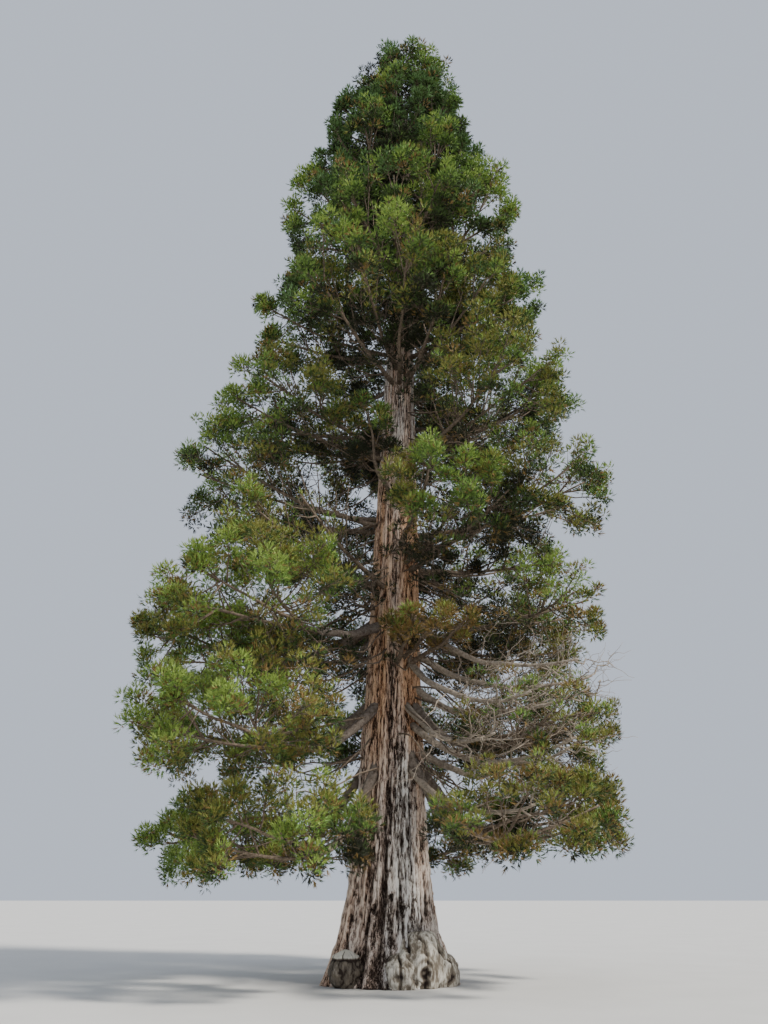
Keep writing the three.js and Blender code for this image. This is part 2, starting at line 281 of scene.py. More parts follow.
def tubes(paths: Array, radii: Array, sides: int) -> Shape:
    """Closed round tubes along paths, each ring square to its path, with a flat fan at either end.

    A ring's corner is centre + radius (cos a side + sin a over), for even angles a.

    Args:
        paths: Array [N, T, 3] of centres.
        radii: Array [N, T], or [N, T, sides] for a tube with relief.
        sides: Corners of a ring.

    Returns:
        The N tubes as one shape.
    """
    count, steps = paths.shape[:2]
    along = unit(np.gradient(paths, axis=1))
    mean = unit(along.mean(axis=1))
    level = np.where(np.abs(mean[:, 2:]) > 0.9, np.array([1.0, 0.0, 0.0]), UP)[:, None, :]
    side = unit(np.cross(level, along))
    over = np.cross(along, side)
    angle = turns(sides)
    spread = radii[..., None] if radii.ndim == 2 else radii
    ring = spread[..., None] * (
        np.cos(angle)[:, None] * side[:, :, None, :] + np.sin(angle)[:, None] * over[:, :, None, :]
    )
    points = (paths[:, :, None, :] + ring).reshape(-1, 3)
    k = np.arange(1, sides - 1)
    foot = np.stack([np.zeros_like(k), k + 1, k], axis=-1)
    tip = np.stack([np.zeros_like(k), k, k + 1], axis=-1) + (steps - 1) * sides
    one = np.concatenate([ring_walls(steps, sides), foot, tip])
    faces = (one[None] + (np.arange(count) * steps * sides)[:, None, None]).reshape(-1, 3)
    return Shape(points, faces)


def put(name: str, shape: Shape, finishes: list[Material], smooth: bool) -> bpy.types.Object:
    """A mesh object at the origin, made from a shape in one go.

    Args:
        name: The piece's name.
        shape: What it looks like; its which picks the finish of each triangle.
        finishes: Materials in the order that which counts them.
        smooth: Whether its faces are shaded as one smooth surface.

    Returns:
        The new object, linked to the scene.
    """
    mesh = bpy.data.meshes.new(name)
    mesh.vertices.add(len(shape.points))
    mesh.vertices.foreach_set("co", shape.points.astype(np.float32).ravel())
    mesh.loops.add(shape.faces.size)
    mesh.loops.foreach_set("vertex_index", shape.faces.astype(np.int32).ravel())
    mesh.polygons.add(len(shape.faces))
    mesh.polygons.foreach_set("loop_start", np.arange(0, shape.faces.size, 3, dtype=np.int32))
    for material in finishes:
        mesh.materials.append(material)
    if shape.which is not None:
        mesh.polygons.foreach_set("material_index", shape.which.astype(np.int32))
    mesh.polygons.foreach_set("use_smooth", np.full(len(shape.faces), smooth))
    for key, values in shape.marks.items():
        layer = mesh.attributes.new(key, "FLOAT", "POINT")
        layer.data.foreach_set("value", values.astype(np.float32))
    mesh.update(calc_edges=True)
    piece = bpy.data.objects.new(name, mesh)
    bpy.context.scene.collection.objects.link(piece)
    return piece


def dress(piece: bpy.types.Object, nodes: list[str]) -> None:
    """Ties a piece to the fixed frame, and reports it.

    Args:
        piece: The finished object.
        nodes: The solids that it stands for.
    """
    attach(piece, "root")
    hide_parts(*nodes)
    log.info("%s: %d triangles for %d solids", piece.name, len(piece.data.polygons), len(nodes))


# Finishes


def srgb(red: int, green: int, blue: int) -> Colour:
    """A linear colour from screen values.

    Args:
        red: Screen value from 0 to 255.
        green: Screen value from 0 to 255.
        blue: Screen value from 0 to 255.

    Returns:
        The linear values, and full opacity.
    """
    parts = [v / 255.0 for v in (red, green, blue)]
    linear = [v / 12.92 if v <= 0.04045 else ((v + 0.055) / 1.055) ** 2.4 for v in parts]
    return linear[0], linear[1], linear[2], 1.0


class Nodes:
    """A material's nodes, with short calls for those that the finishes use."""

    def __init__(self, name: str) -> None:
        """Starts a material that has only its shader and output.

        Args:
            name: The material's name.
        """
        self.material = bpy.data.materials.new(name)
        self.material.use_nodes = True
        self.tree = self.material.node_tree
        self.shader = self.tree.nodes["Principled BSDF"]

    def add(self, kind: str, **values: object) -> bpy.types.Node:
        """A new node.

        Args:
            kind: Its type.
            values: Its properties, by name.

        Returns:
            The node.
        """
        node = self.tree.nodes.new(kind)
        for key, value in values.items():
            setattr(node, key, value)
        return node

    def link(self, source: Socket, target: Socket) -> None:
        """Joins two sockets."""
        self.tree.links.new(source, target)

    def noise(self, scale: Triple, detail: float, rough: float = 0.6) -> Socket:
        """Noise in object coordinates.

        Args:
            scale: Its scale per metre along each axis.
            detail: Number of octaves.
            rough: How strong the finer ones are.

        Returns:
            A factor from 0 to 1.
        """
        place = self.add("ShaderNodeTexCoord")
        mapping = self.add("ShaderNodeMapping")
        mapping.inputs["Scale"].default_value = scale
        self.link(place.outputs["Object"], mapping.inputs["Vector"])
        node = self.add("ShaderNodeTexNoise")
        for key, number in (("Scale", 1.0), ("Detail", detail), ("Roughness", rough)):
            node.inputs[key].default_value = number
        self.link(mapping.outputs["Vector"], node.inputs["Vector"])
        return node.outputs["Fac"]

    def ramp(self, factor: Socket, stops: list[tuple[float, Colour]]) -> Socket:
        """A colour ramp.

        Args:
            factor: What it goes by.
            stops: Its places and their colours.

        Returns:
            The colour.
        """
        node = self.add("ShaderNodeValToRGB")
        points = node.color_ramp.elements
        while len(points) < len(stops):
            points.new(0.5)
        for point, (place, colour) in zip(points, stops):
            point.position = place
            point.color = colour
        self.link(factor, node.inputs["Fac"])
        return node.outputs["Color"]

    def mark(self, name: str) -> Socket:
        """A number kept on the piece's vertices."""
        return self.add("ShaderNodeAttribute", attribute_name=name).outputs["Fac"]

    def spread(self, value: Socket, source: tuple[float, float], target: tuple[float, float]) -> Socket:
        """A value carried from one range to another, held at the ends.

        Args:
            value: The value.
            source: The range that it comes from.
            target: The range that it is carried to.

        Returns:
            The new value.
        """
        node = self.add("ShaderNodeMapRange")
        for key, number in zip(("From Min", "From Max", "To Min", "To Max"), source + target):
            node.inputs[key].default_value = number
        self.link(value, node.inputs["Value"])
        return node.outputs["Result"]

    def total(self, first: Socket, second: Socket) -> Socket:
        """The sum of two values.

        Args:
            first: One value.
            second: The other value.

        Returns:
            Their sum.
        """
        node = self.add("ShaderNodeMath", operation="ADD")
        self.link(first, node.inputs[0])
        self.link(second, node.inputs[1])
        return node.outputs[0]

    def mixed(self, factor: Socket, first: Socket, second: Socket) -> Socket:
        """A mix of two colours.

        Args:
            factor: 0 for the first colour, 1 for the second.
            first: One colour.
            second: The other colour.

        Returns:
            The mix.
        """
        node = self.add("ShaderNodeMix", data_type="RGBA")
        self.link(factor, node.inputs[0])
        self.link(first, node.inputs[6])
        self.link(second, node.inputs[7])
        return node.outputs[2]

    def matt(self, roughness: float, specular: float) -> None:
        """Sets the shader's roughness and its specular level."""
        self.shader.inputs["Roughness"].default_value = roughness
        self.shader.inputs["Specular IOR Level"].default_value = specular

    def bump(self, height: Socket, depth: float, strength: float) -> None:
        """Fine relief on the shader.

        Args:
            height: Its height from 0 to 1.
            depth: How deep it is, in metres.
            strength: How strongly it bends the light.
        """
        node = self.add("ShaderNodeBump")
        node.inputs["Distance"].default_value = depth
        node.inputs["Strength"].default_value = strength
        self.link(height, node.inputs["Height"])
        self.link(node.outputs["Normal"], self.shader.inputs["Normal"])


BARK_SPECULAR = 0.25


@dataclass(frozen=True)
class TrunkBark:
    """Stringy bark: cinnamon where it is fresh, silver where it is weathered, dark down in the furrows."""

    furrow: Colour = srgb(42, 30, 23)
    lit_green: Colour = srgb(186, 134, 98)
    fresh_edge: Colour = srgb(240, 198, 158)
    silver: Colour = srgb(156, 145, 136)
    silver_edge: Colour = srgb(238, 234, 228)
    fibres: Triple = (34.0, 34.0, 5.0)

    def material(self) -> Material:
        """The finish: two ramps by height of relief and fibres, mixed by how weathered the place is.

        Returns:
            The material. It reads relief and weather from the vertices.
        """
        n = Nodes("trunk_bark")
        fibres = n.noise(self.fibres, 8.0, 0.82)
        height = n.total(n.mark("relief"), n.spread(fibres, (0.38, 0.62), (-0.7, 0.65)))
        red = n.ramp(height, [(0.14, self.furrow), (0.55, self.lit_green), (1.0, self.fresh_edge)])
        grey = n.ramp(height, [(0.1, self.furrow), (0.48, self.silver), (1.0, self.silver_edge)])
        n.link(n.mixed(n.mark("weather"), red, grey), n.shader.inputs["Base Color"])
        n.matt(0.92, BARK_SPECULAR)
        n.bump(fibres, 0.03, 1.0)
        return n.material


@dataclass(frozen=True)
class BurlWood:
    """Weathered burl: pale grey folds with brown in the creases and fine cracks."""

    crease: Colour = srgb(50, 40, 34)
    grey: Colour = srgb(126, 116, 102)
    pale: Colour = srgb(222, 216, 202)
    grain: Triple = (22.0, 22.0, 6.0)

    def material(self) -> Material:
        """The finish: a ramp by height of relief, broken up by grain that runs down the burl.

        Returns:
            The material. It reads relief from the vertices.
        """
        n = Nodes("burl_wood")
        grain = n.noise(self.grain, 8.0, 0.7)
        height = n.total(n.mark("relief"), n.spread(grain, (0.3, 0.7), (-0.28, 0.28)))
        colour = n.ramp(height, [(0.16, self.crease), (0.64, self.grey), (1.0, self.pale)])
        n.link(colour, n.shader.inputs["Base Color"])
        n.matt(0.9, BARK_SPECULAR)
        n.bump(grain, 0.02, 1.0)
        return n.material


@dataclass(frozen=True)
class LimbBark:
    """Bark of boughs and twigs: scaly between two colours, the paler one on ridges."""

    name: str
    dark: Colour
    pale: Colour
    grain: float

    def material(self) -> Material:
        """The finish: noise between the two colours, with small scales in relief.

        Returns:
            The material.
        """
        n = Nodes(self.name)
        scales = n.noise((self.grain,) * 3, 6.0, 0.7)
        n.link(n.ramp(scales, [(0.3, self.dark), (0.72, self.pale)]), n.shader.inputs["Base Color"])
        n.matt(0.9, BARK_SPECULAR)
        n.bump(scales, 0.01, 0.8)
        return n.material


BOUGH_BARK = LimbBark("bough_bark", srgb(70, 58, 50), srgb(150, 138, 126), 14.0)
TWIG_BARK = LimbBark("twig_bark", srgb(62, 50, 42), srgb(148, 132, 114), 20.0)
DEAD_BARK = LimbBark("dead_bark", srgb(112, 98, 84), srgb(188, 176, 160), 16.0)


class Tint(Enum):
    """The colours of the needles, dealt out by spray. The order is that of the material slots."""

    LIT_GREEN = 0
    LEAF = 1
    DEEP = 2
    BLUE = 3
    OLIVE = 4
    BRONZE = 5
    DUSK = 6


# The brightest green, LEAF, DEEP and DUSK are one green painted at four levels, from painted sunlight to
# painted shade; BLUE, OLIVE and BRONZE are the needles' own tints.
NEEDLE_COLOURS = {
    Tint.LIT_GREEN: srgb(142, 164, 78),
    Tint.LEAF: srgb(108, 138, 64),
    Tint.DEEP: srgb(72, 92, 48),
    Tint.BLUE: srgb(92, 124, 72),
    Tint.OLIVE: srgb(130, 130, 64),
    Tint.BRONZE: srgb(134, 110, 64),
    Tint.DUSK: srgb(46, 50, 32),
}


@dataclass(frozen=True)
class NeedleFinish:
    """Waxy needles of one plain tint. Only the gloss and the fine relief vary over them."""

    tint: Tint
    wax: float = 9.0
    relief: float = 60.0

    def material(self) -> Material:
        """The finish: a plain colour, with roughness and relief from noise.

        Returns:
            The material.
        """
        n = Nodes(f"needles_{self.tint.name.lower()}")
        wax = n.noise((self.wax,) * 3, 3.0)
        n.shader.inputs["Base Color"].default_value = NEEDLE_COLOURS[self.tint]
        n.shader.inputs["Specular IOR Level"].default_value = 0.3
        n.link(n.spread(wax, (0.3, 0.7), (0.5, 0.75)), n.shader.inputs["Roughness"])
        n.bump(n.noise((self.relief,) * 3, 2.0), 0.004, 0.5)
        return n.material


# The trunk


@dataclass(frozen=True)
class TrunkForm:
    """The trunk's driving sizes, as in the solids."""

    top: float = 23.2
    taper_radius: float = 0.78
    taper_end: float = 26.0
    flare_radius: float = 0.5
    flare_height: float = 1.1
    lean: float = 0.026
    buttress_depth: float = 0.085
    buttress_height: float = 2.4
    lobes: tuple[Triple, ...] = ((5, 1.0, 0.9), (3, 0.6, -1.2), (8, 0.5, 2.1))

    def axis(self, z: Array | float) -> Array:
        """Points of the leaning axis at heights z."""
        z = np.asarray(z, dtype=float)
        return np.stack([self.lean * z, np.zeros_like(z), z], axis=-1)

    def radius(self, z: Array | float) -> Array:
        """Mean radius: a straight taper and a flare that dies away upwards.

        Args:
            z: Heights.

        Returns:
            Radii in metres.
        """
        z = np.asarray(z, dtype=float)
        flare = self.flare_radius * np.exp(-z / self.flare_height)
        return self.taper_radius * (1.0 - z / self.taper_end) + flare

    def away(self, points: Array) -> Array:
        """How far points lie from the trunk's axis, level with them."""
        return np.linalg.norm((points - self.axis(points[..., 2]))[..., :2], axis=-1)

    def buttress(self, angle: Array, z: Array) -> Array:
        """Factor on the radius: broad lobes round the foot that fade with height."""
        lobes = sum(share * np.cos(count * angle + turn) for count, share, turn in self.lobes)
        return 1.0 + self.buttress_depth * lobes * np.exp(-z / self.buttress_height)


FORM = TrunkForm()
POLE_MARKS = [0.5, 0.5]


@dataclass
class Trunk:
    """The trunk in two lengths that meet at one ring, with furrows, fibres, folds and knots in relief.

    A fold is its heading, its depth, and the height over which it fades.
    """

    columns: int = 272
    foot_rows: int = 270
    upper_rows: int = 190
    meet: float = 6.5
    furrow_depth: float = 0.042
    furrow_width: float = 0.17
    groove_depth: float = 0.028
    groove_width: float = 0.2
    thread_depth: float = 0.012
    slab_depth: float = 0.02
    flake_depth: float = 0.018
    swelling: float = 0.07
    swelling_height: float = 1.6
    knots: int = 60
    knot_lowest: float = 0.9
    knot_range: float = 15.0
    folds: tuple[Triple, ...] = (
        (262.0, 0.16, 4.2),
        (284.0, 0.07, 1.2),
        (246.0, 0.08, 1.6),
        (300.0, 0.06, 1.8),
        (40.0, 0.1, 2.0),
        (128.0, 0.12, 2.2),
        (190.0, 0.09, 1.5),
    )

    def relief(self, angle: Array, z: Array) -> tuple[Array, Array]:
        """Depth of the bark's relief, and the same as a height from 0 in a furrow to 1 on a ridge.

        Furrows lie where stretched noise on the round of the trunk crosses zero, at three scales; noise
        that is not stretched breaks the ridges into shaggy plates. Folds are creases at set headings round
        the foot that fade with height, between broad swellings.

        Args:
            angle: Angles round the axis.
            z: Heights.

        Returns:
            Offset of the radius in metres, and relief height.
        """

        def wrapped(turned: Array, around: float, upward: float, seed: int) -> Array:
            """Noise on the round of the trunk, with so many cells a metre around and upwards."""
            place = [around * np.cos(turned), around * np.sin(turned), upward * z]
            return noise(np.stack(place, axis=-1), seed)

        sway = wrapped(angle, 2.0, 0.5, 11)
        shiver = wrapped(angle, 7.0, 2.4, 15)
        strayed = angle + 0.07 * sway + 0.035 * shiver
        wide = wrapped(strayed, 8.5, 0.55, 12) + 0.25 * wrapped(angle, 16.0, 5.0, 16)
        fine = wrapped(strayed, 17.0, 1.1, 13) + 0.3 * wrapped(angle, 24.0, 9.0, 17)
        thread = wrapped(strayed, 34.0, 2.6, 18)
        slab = wrapped(angle, 4.0, 0.9, 14)
        flake = wrapped(angle, 20.0, 7.0, 19)
        deep = bell(wide, self.furrow_width)
        small = bell(fine, self.groove_width)
        offset = -self.furrow_depth * deep - self.groove_depth * small + self.thread_depth * thread
        offset = offset + self.slab_depth * slab + self.flake_depth * flake
        height = 0.95 - 0.5 * deep - 0.62 * small + 0.3 * thread + 0.12 * slab + 0.36 * flake
        swelling = wrapped(angle, 2.6, 0.35, 20) * np.exp(-z / self.swelling_height)
        offset = offset * (0.5 + 0.5 * smoothstep(16.0, 3.0, z)) + self.swelling * swelling
        for heading, strength, reach in self.folds:
            apart = half_turned(angle - math.radians(heading) + 0.05 * sway + 0.03 * shiver)
            fold = bell(apart, 0.03 + 0.25 * strength) * np.exp(-z / reach)
            offset = offset - strength * fold
            height = height - fold
        return offset, height

    def knot_marks(self, angle: Array, z: Array) -> tuple[Array, Array]:
        """Pits where small limbs have died: a raised rim round a dark hollow.

        Args:
            angle: Angles round the axis.
            z: Heights.

        Returns:
            Offset of the radius in metres, and darkness from 0 to 1.
        """
        offset = np.zeros_like(z)
        dark = np.zeros_like(z)
        for k in range(self.knots):
            at = 2.0 * math.pi * hashed(71, k)
            up = self.knot_lowest + self.knot_range * hashed(72, k) ** 1.4
            size = 0.035 + 0.04 * hashed(73, k)
            apart = half_turned(angle - at) * FORM.radius(z)
            far = np.sqrt(apart**2 + ((z - up) / 1.3) ** 2) / size
            far = far * (1.0 + 0.25 * np.sin(3.0 * np.arctan2(z - up, apart) + k))
            offset += 0.35 * size * np.exp(-((far - 1.4) ** 2) / 0.2) - 0.9 * size * np.exp(-(far**2) / 0.6)
            dark = np.maximum(dark, np.exp(-(far**2) / 0.7))
        return offset, dark

    def weathering(self, angle: Array, z: Array) -> Array:
        """How silvery the bark is: most on the low front right, least on the right side at mid height.

        Args:
            angle: Angles round the axis.
            z: Heights.

        Returns:
            Shares from 0, cinnamon, to 1, silver.
        """
        heading = np.degrees(angle) % 360.0
        ring = np.stack([np.cos(angle), np.sin(angle)], axis=-1)
        patch = noise(np.concatenate([2.6 * ring, 0.35 * z[..., None]], axis=-1), 21)
        streak = noise(np.concatenate([9.0 * ring, 0.3 * z[..., None]], axis=-1), 22)
        low = smoothstep(5.6, 2.6, z)
        high = smoothstep(9.5, 12.5, z)
        front = bell(heading - 296.0, 40.0)
        red_side = bell(heading - 318.0, 26.0) * smoothstep(4.0, 5.5, z) * smoothstep(11.0, 9.0, z)
        share = 0.28 + 0.3 * low + 0.42 * low * front + 0.3 * high - 0.7 * red_side
        return np.clip(share + 0.3 * patch + 0.22 * streak, 0.0, 1.0)

    def length(self, low: float, high: float, rows: int) -> Shape:
        """One length of the trunk, a closed tube on a grid of angle and height.

        Radius = (taper + flare) x buttress + relief + knots, about the leaning axis.

        Args:
            low: Height of its first ring.
            high: Height of its last ring.
            rows: Number of steps from ring to ring.

        Returns:
            The shape, with its relief and weathering marked.
        """
        heights = np.linspace(low, high, rows + 1)
        z, angle = np.meshgrid(heights, turns(self.columns), indexing="ij")
        offset, height = self.relief(angle, z)
        pit, dark = self.knot_marks(angle, z)
        rough = (offset + pit) * smoothstep(24.5, 21.0, z)
        radius = FORM.radius(z) * FORM.buttress(angle, z) + rough
        ray = np.stack([np.cos(angle), np.sin(angle), np.zeros_like(z)], axis=-1)
        points = (FORM.axis(z) + radius[..., None] * ray).reshape(-1, 3)
        poles = FORM.axis(np.array([low, high]))
        marks = {
            "relief": np.append(np.clip(height - 1.2 * dark, 0.0, 1.2).ravel(), POLE_MARKS),
            "weather": np.append(self.weathering(angle, z).ravel(), POLE_MARKS),
        }
        faces = closed_faces(rows + 1, self.columns)
        return Shape(np.concatenate([points, poles]), faces, None, marks)

    def build(self) -> None:
        """Makes both lengths and dresses them."""
        bark = TrunkBark().material()
        for name, low, high, rows in (
            ("trunk_foot", 0.0, self.meet, self.foot_rows),
            ("trunk_upper", self.meet, FORM.top, self.upper_rows),
        ):
            dress(put(name, self.length(low, high, rows), [bark], True), ["trunk"])


@dataclass(frozen=True)
class Burl:
    """A knot of swollen wood at the foot: where it is, its half-sizes, its grooves and its eye.

    grooves run down it from its top; eye is the rise and turn of a swirl of rings, and its size. cap is
    the polar angle, in degrees, down to which a pale segmented rim covers it.
    """

    heading: float
    out: float
    up: float
    size: Triple
    grooves: int
    groove_depth: float
    eye: Triple = (0.0, 0.0, 0.0)
    cap: float = 0.0
    columns: int = 96
    rows: int = 56

    def swirl(self, ray: Array, wander: Array) -> tuple[Array, Array]:
        """The swirl round the eye: a hollow, a rim and waves that fade.

        Args:
            ray: Unit vectors from the burl's middle.
            wander: Noise that bends the waves.

        Returns:
            What it adds to the swell, and to the relief height.
        """
        rise, turn = math.radians(self.eye[0]), math.radians(self.eye[1])
        level = math.cos(rise)
        middle = np.array([level * math.cos(turn), level * math.sin(turn), math.sin(rise)])
        far = np.arccos(np.clip(ray @ middle, -1.0, 1.0)) / self.eye[2] * (1.0 + 0.5 * wander)
        waves = bell(far, 1.3) * np.cos(2.0 * math.pi * 1.6 * far)
        swell = 0.035 * waves + 0.06 * bell(far - 1.0, 0.4) - 0.1 * bell(far, 0.35)
        return swell, 0.35 * waves - 0.5 * bell(far, 0.4)

    def skin(self, polar: Array, angle: Array, ray: Array, seed: int) -> tuple[Array, Array]:
        """The burl's relief.

        Swell = 1 + lumps - grooves - cracks + swirl + cap. Grooves lie where the cosine of half their
        count times the angle is near zero, and the cap's seams where that of 3.5 times the angle is.

        Args:
            polar: Angles from its top.
            angle: Angles round it.
            ray: Unit vectors with those angles.
            seed: Which noise it has.

        Returns:
            Factor on the half-sizes, and relief height.
        """
        wander = 0.35 * noise(2.4 * ray, seed + 3) + 0.12 * noise(7.0 * ray, seed + 4)
        comb = np.abs(np.cos(0.5 * self.grooves * (angle + wander)))
        groove = bell(comb, 0.34) * smoothstep(0.2, 0.9, polar)
        crack = bell(noise(np.stack([9.0 * angle, 2.2 * polar, 0.0 * polar], -1), seed + 5), 0.16)
        lumps = 0.11 * noise(2.0 * ray, seed) + 0.06 * noise(4.0 * ray, seed + 1)
        lumps = lumps + 0.012 * noise(13.0 * ray, seed + 2)
        swell = 1.0 + lumps - self.groove_depth * groove - 0.008 * crack
        height = 0.8 - 0.62 * groove - 0.22 * crack + 2.4 * lumps
        if self.eye[2] > 0.0:
            more, higher = self.swirl(ray, wander)
            swell, height = swell + more, height + higher
        if self.cap > 0.0:
            down = math.radians(self.cap)
            edge = smoothstep(down, down - 0.12, polar + 0.1 * wander)
            seams = bell(np.abs(np.cos(3.5 * angle)), 0.1) * edge
            swell = swell + 0.09 * edge - 0.07 * seams
            rim = bell(polar - down, 0.07)
            height = 0.6 * height * (1.0 - edge) + edge * (1.05 - 0.8 * seams) - 0.5 * rim
        return swell, height

    def shape(self, seed: int) -> Shape:
        """A squashed ball with its relief, cut flat at the ground.

        A point is centre + half-sizes x direction x swell. Below the ground line it is pulled flat.

        Args:
            seed: Which noise it has.

        Returns:
            The closed shape, with its relief marked.
        """
        last = math.acos(max(-1.0, -self.up / self.size[2]))
        down = np.linspace(0.0, last, self.rows + 1)[1:]
        polar, angle = np.meshgrid(down, turns(self.columns), indexing="ij")
        ray = np.stack([np.sin(polar) * np.cos(angle), np.sin(polar) * np.sin(angle), np.cos(polar)], axis=-1)
        swell, height = self.skin(polar, angle, ray, seed)
        axes = np.stack([outward(self.heading), outward(self.heading + 90.0), UP])
        centre = self.out * axes[0] + self.up * UP
        points = centre + (ray * swell[..., None] * np.array(self.size)) @ axes
        points[..., 2] = np.maximum(points[..., 2], 0.0)
        points[-1, :, 2] = 0.0
        top = centre + np.array([[0.0, 0.0, self.size[2] * swell[0].mean()]])
        foot = points[-1].mean(axis=0, keepdims=True)
        marks = {"relief": np.append(np.clip(height, 0.0, 1.2).ravel(), POLE_MARKS)}
        faces = closed_faces(self.rows, self.columns)[:, ::-1]
        return Shape(np.concatenate([points.reshape(-1, 3), top, foot]), faces, None, marks)


@dataclass
class BurledFoot:
    """The cluster of burls at the front right of the foot, and the capped knob at its front left."""

    burls: tuple[Burl, ...] = (
        Burl(308.0, 0.96, 0.33, (0.50, 0.54, 0.62), 7, 0.13, (-8.0, -25.0, 0.33)),
        Burl(284.0, 1.09, 0.20, (0.36, 0.38, 0.40), 7, 0.15),
        Burl(333.0, 1.13, 0.16, (0.36, 0.40, 0.41), 5, 0.14),
        Burl(231.0, 1.20, 0.26, (0.30, 0.31, 0.31), 9, 0.03, cap=52.0),
    )

    def build(self) -> None:
        """Makes the burls as one piece and dresses it."""
        shapes = [burl.shape(30 + 7 * i) for i, burl in enumerate(self.burls)]
        piece = put("foot_burls", joined(shapes), [BurlWood().material()], True)
        dress(piece, ["trunk"])


# The rule of growth, from the solids


@dataclass(frozen=True)
class Tier:
    """One storey of the crown, as the solids have it.

    foot is the height at which its boughs leave the trunk, or 0 where it has none, and pad that of its
    masses. reach is how far they go out, half their half-sizes, twigs how many they have. Each mass has a
    heading, a rise over the pad and a scale. thin is the heading of the sparse one.
    """

    name: str
    foot: float
    pad: float
    reach: float
    half: Triple
    twigs: int
    headings: tuple[float, ...]
    rises: tuple[float, ...]
    scales: tuple[float, ...]
    thin: float | None = None


TIERS = (
    Tier(
        "skirt", 4.0, 2.7, 5.3, (1.75, 2.15, 1.15), 7,
        (234, 314, 0, 80, 165), (-0.15, 0.15, 0.3, 0, -0.1), (1, 1, 1, 1, 1), 314,
    ),
    Tier(
        "lower", 5.4, 4.9, 5.9, (1.95, 2.45, 1.45), 8,
        (226, 330, 20, 90, 158), (-0.45, -0.3, 0, 0.2, 0), (1, 0.85, 1, 1, 1), 330,
    ),
    Tier("sprout", 0, 6.55, 3.15, (0.9, 1.05, 0.6), 5, (292,), (0,), (1,), 292),
    Tier(
        "waist", 7.3, 7.1, 5.85, (1.9, 2.35, 1.35), 8,
        (184, 228, 345, 40, 112), (-0.5, -0.3, 0.1, 0, 0.2), (1, 1, 0.9, 1, 1), 345,
    ),
    Tier(
        "middle", 0, 9.7, 5.5, (2.0, 2.35, 1.65), 8,
        (182, 226, 297, 345, 45, 115), (1.0, -1.2, -0.5, 0.3, -0.2, 0.3), (1, 0.82, 0.8, 1, 1, 1),
    ),
    Tier(
        "shoulder", 0, 12.6, 5.0, (2.0, 2.35, 1.7), 8,
        (198, 326, 18, 74, 134), (-0.4, -0.2, 0.7, 0, 0.2), (0.9, 1, 1, 1, 1),
    ),
    Tier(
        "high", 0, 15.15, 4.45, (1.85, 2.15, 1.75), 8,
        (190, 254, 307, 0, 95), (0.2, -0.3, -0.5, 0.75, 0), (0.88, 1, 0.95, 0.93, 1),
    ),
    Tier(
        "neck", 0, 18.1, 3.7, (1.7, 2.1, 1.75), 8,
        (192, 265, 345, 80), (0.6, -0.5, 0.4, 0), (0.93, 1, 1, 1),
    ),
    Tier("crown", 0, 20.6, 3.0, (1.5, 1.95, 1.7), 8, (215, 325, 90), (0.2, -0.3, 0), (0.9, 0.93, 1)),
    Tier("cap", 0, 22.65, 2.25, (1.2, 1.6, 1.45), 8, (165, 285, 45), (0.4, -0.2, 0.2), (1, 1, 1)),
)
LEADER_PAD = 24.5
LEADER_HALF = (1.5, 1.5, 1.7)
LEADER_TWIGS = 10

# The masses' places
REACH_SCATTER = 0.03
WIDER_LEFT = 0.05

# Their boughs, from the trunk to the mass
FOOT_SCATTER = 0.25
SEAT_GAP = 0.0003
BOUGH_FOOT_RADIUS = 0.105
BOUGH_TIP_RADIUS = 0.048
BOUGH_DEPTH = 0.7
BOUGH_RISE = 0.5
BOUGH_BEND = 0.6
BOUGH_SAG = 0.06
BOUGH_TIP_AIM = np.array([-0.72, 0.0, -0.25])

# Their stems and twigs
STEM_BEND = 0.4
STEM_END_AIM = np.array([0.6, 0.0, 0.1])
STEM_START_RISE = -0.6
LEAVE_MIDDLE = 0.62
LEAVE_RANGE = 0.3
LOWEST_CLIMB = -0.78
CLIMB_RANGE = 1.7
CLIMB_SCATTER = 0.08
TURN_SCATTER = 0.25
PHASE_TURNS = 2.4
SIDE_SHARE = 0.96
SIDE_TURN = 0.85

# Numbers of the solids' choices
REACH_CHOICE = 1
FOOT_CHOICE = 2
CLIMB_CHOICE = 100
TURN_CHOICE = 200


@dataclass
class Mass:
    """A mass of foliage: its space, and the stem that bears its twigs."""

    name: str
    tier: str
    seed: int
    axes: Array
    middle: Array
    half: Array
    twigs: int
    dense: bool
    heading: float
    root: Array | None = None
    start: Array | None = None
    bough: Array | None = None
    bough_name: str = ""

    def place(self, aim: Array, share: Array | float) -> Array:
        """Points that aims [..., 3] point at, at a share of the way to the mass's limit."""
        return self.middle + (aim * np.asarray(share)[..., None] * self.half) @ self.axes

    def share_of(self, points: Array) -> Array:
        """How far points lie from the middle, as a share of the way to the limit."""
        return np.linalg.norm((points - self.middle) @ self.axes.T / self.half, axis=-1)

    def stem(self) -> Array:
        """Start, bend and end of the stem's curve.

        Returns:
            Array [3, 3].
        """
        end = self.place(STEM_END_AIM, 1.0)
        bend = self.root + self.start * STEM_BEND * np.linalg.norm(end - self.root)
        return np.stack([self.root, bend, end])

    def aims(self, count: int, phase: float, run: int) -> Array:
        """Aims that turn by the golden angle while they climb.

        Args:
            count: Number of twigs.
            phase: Where in its step each one climbs.
            run: Added to each choice's number, to draw others than the solids do.

        Returns:
            Unit vectors [count, 3] in the mass's own axes.
        """
        k = np.arange(count)
        climb = LOWEST_CLIMB + CLIMB_RANGE * (k + phase) / count
        climb = climb + jitter(self.seed, CLIMB_CHOICE + run + k, CLIMB_SCATTER)
        turn = GOLDEN_TURN * (k + PHASE_TURNS * (phase - 0.5))
        turn = turn + jitter(self.seed, TURN_CHOICE + run + k, TURN_SCATTER)
        flat = np.sqrt(np.clip(1.0 - climb**2, 0.0, 1.0))
        return np.stack([flat * np.cos(turn), flat * np.sin(turn), climb], axis=-1)


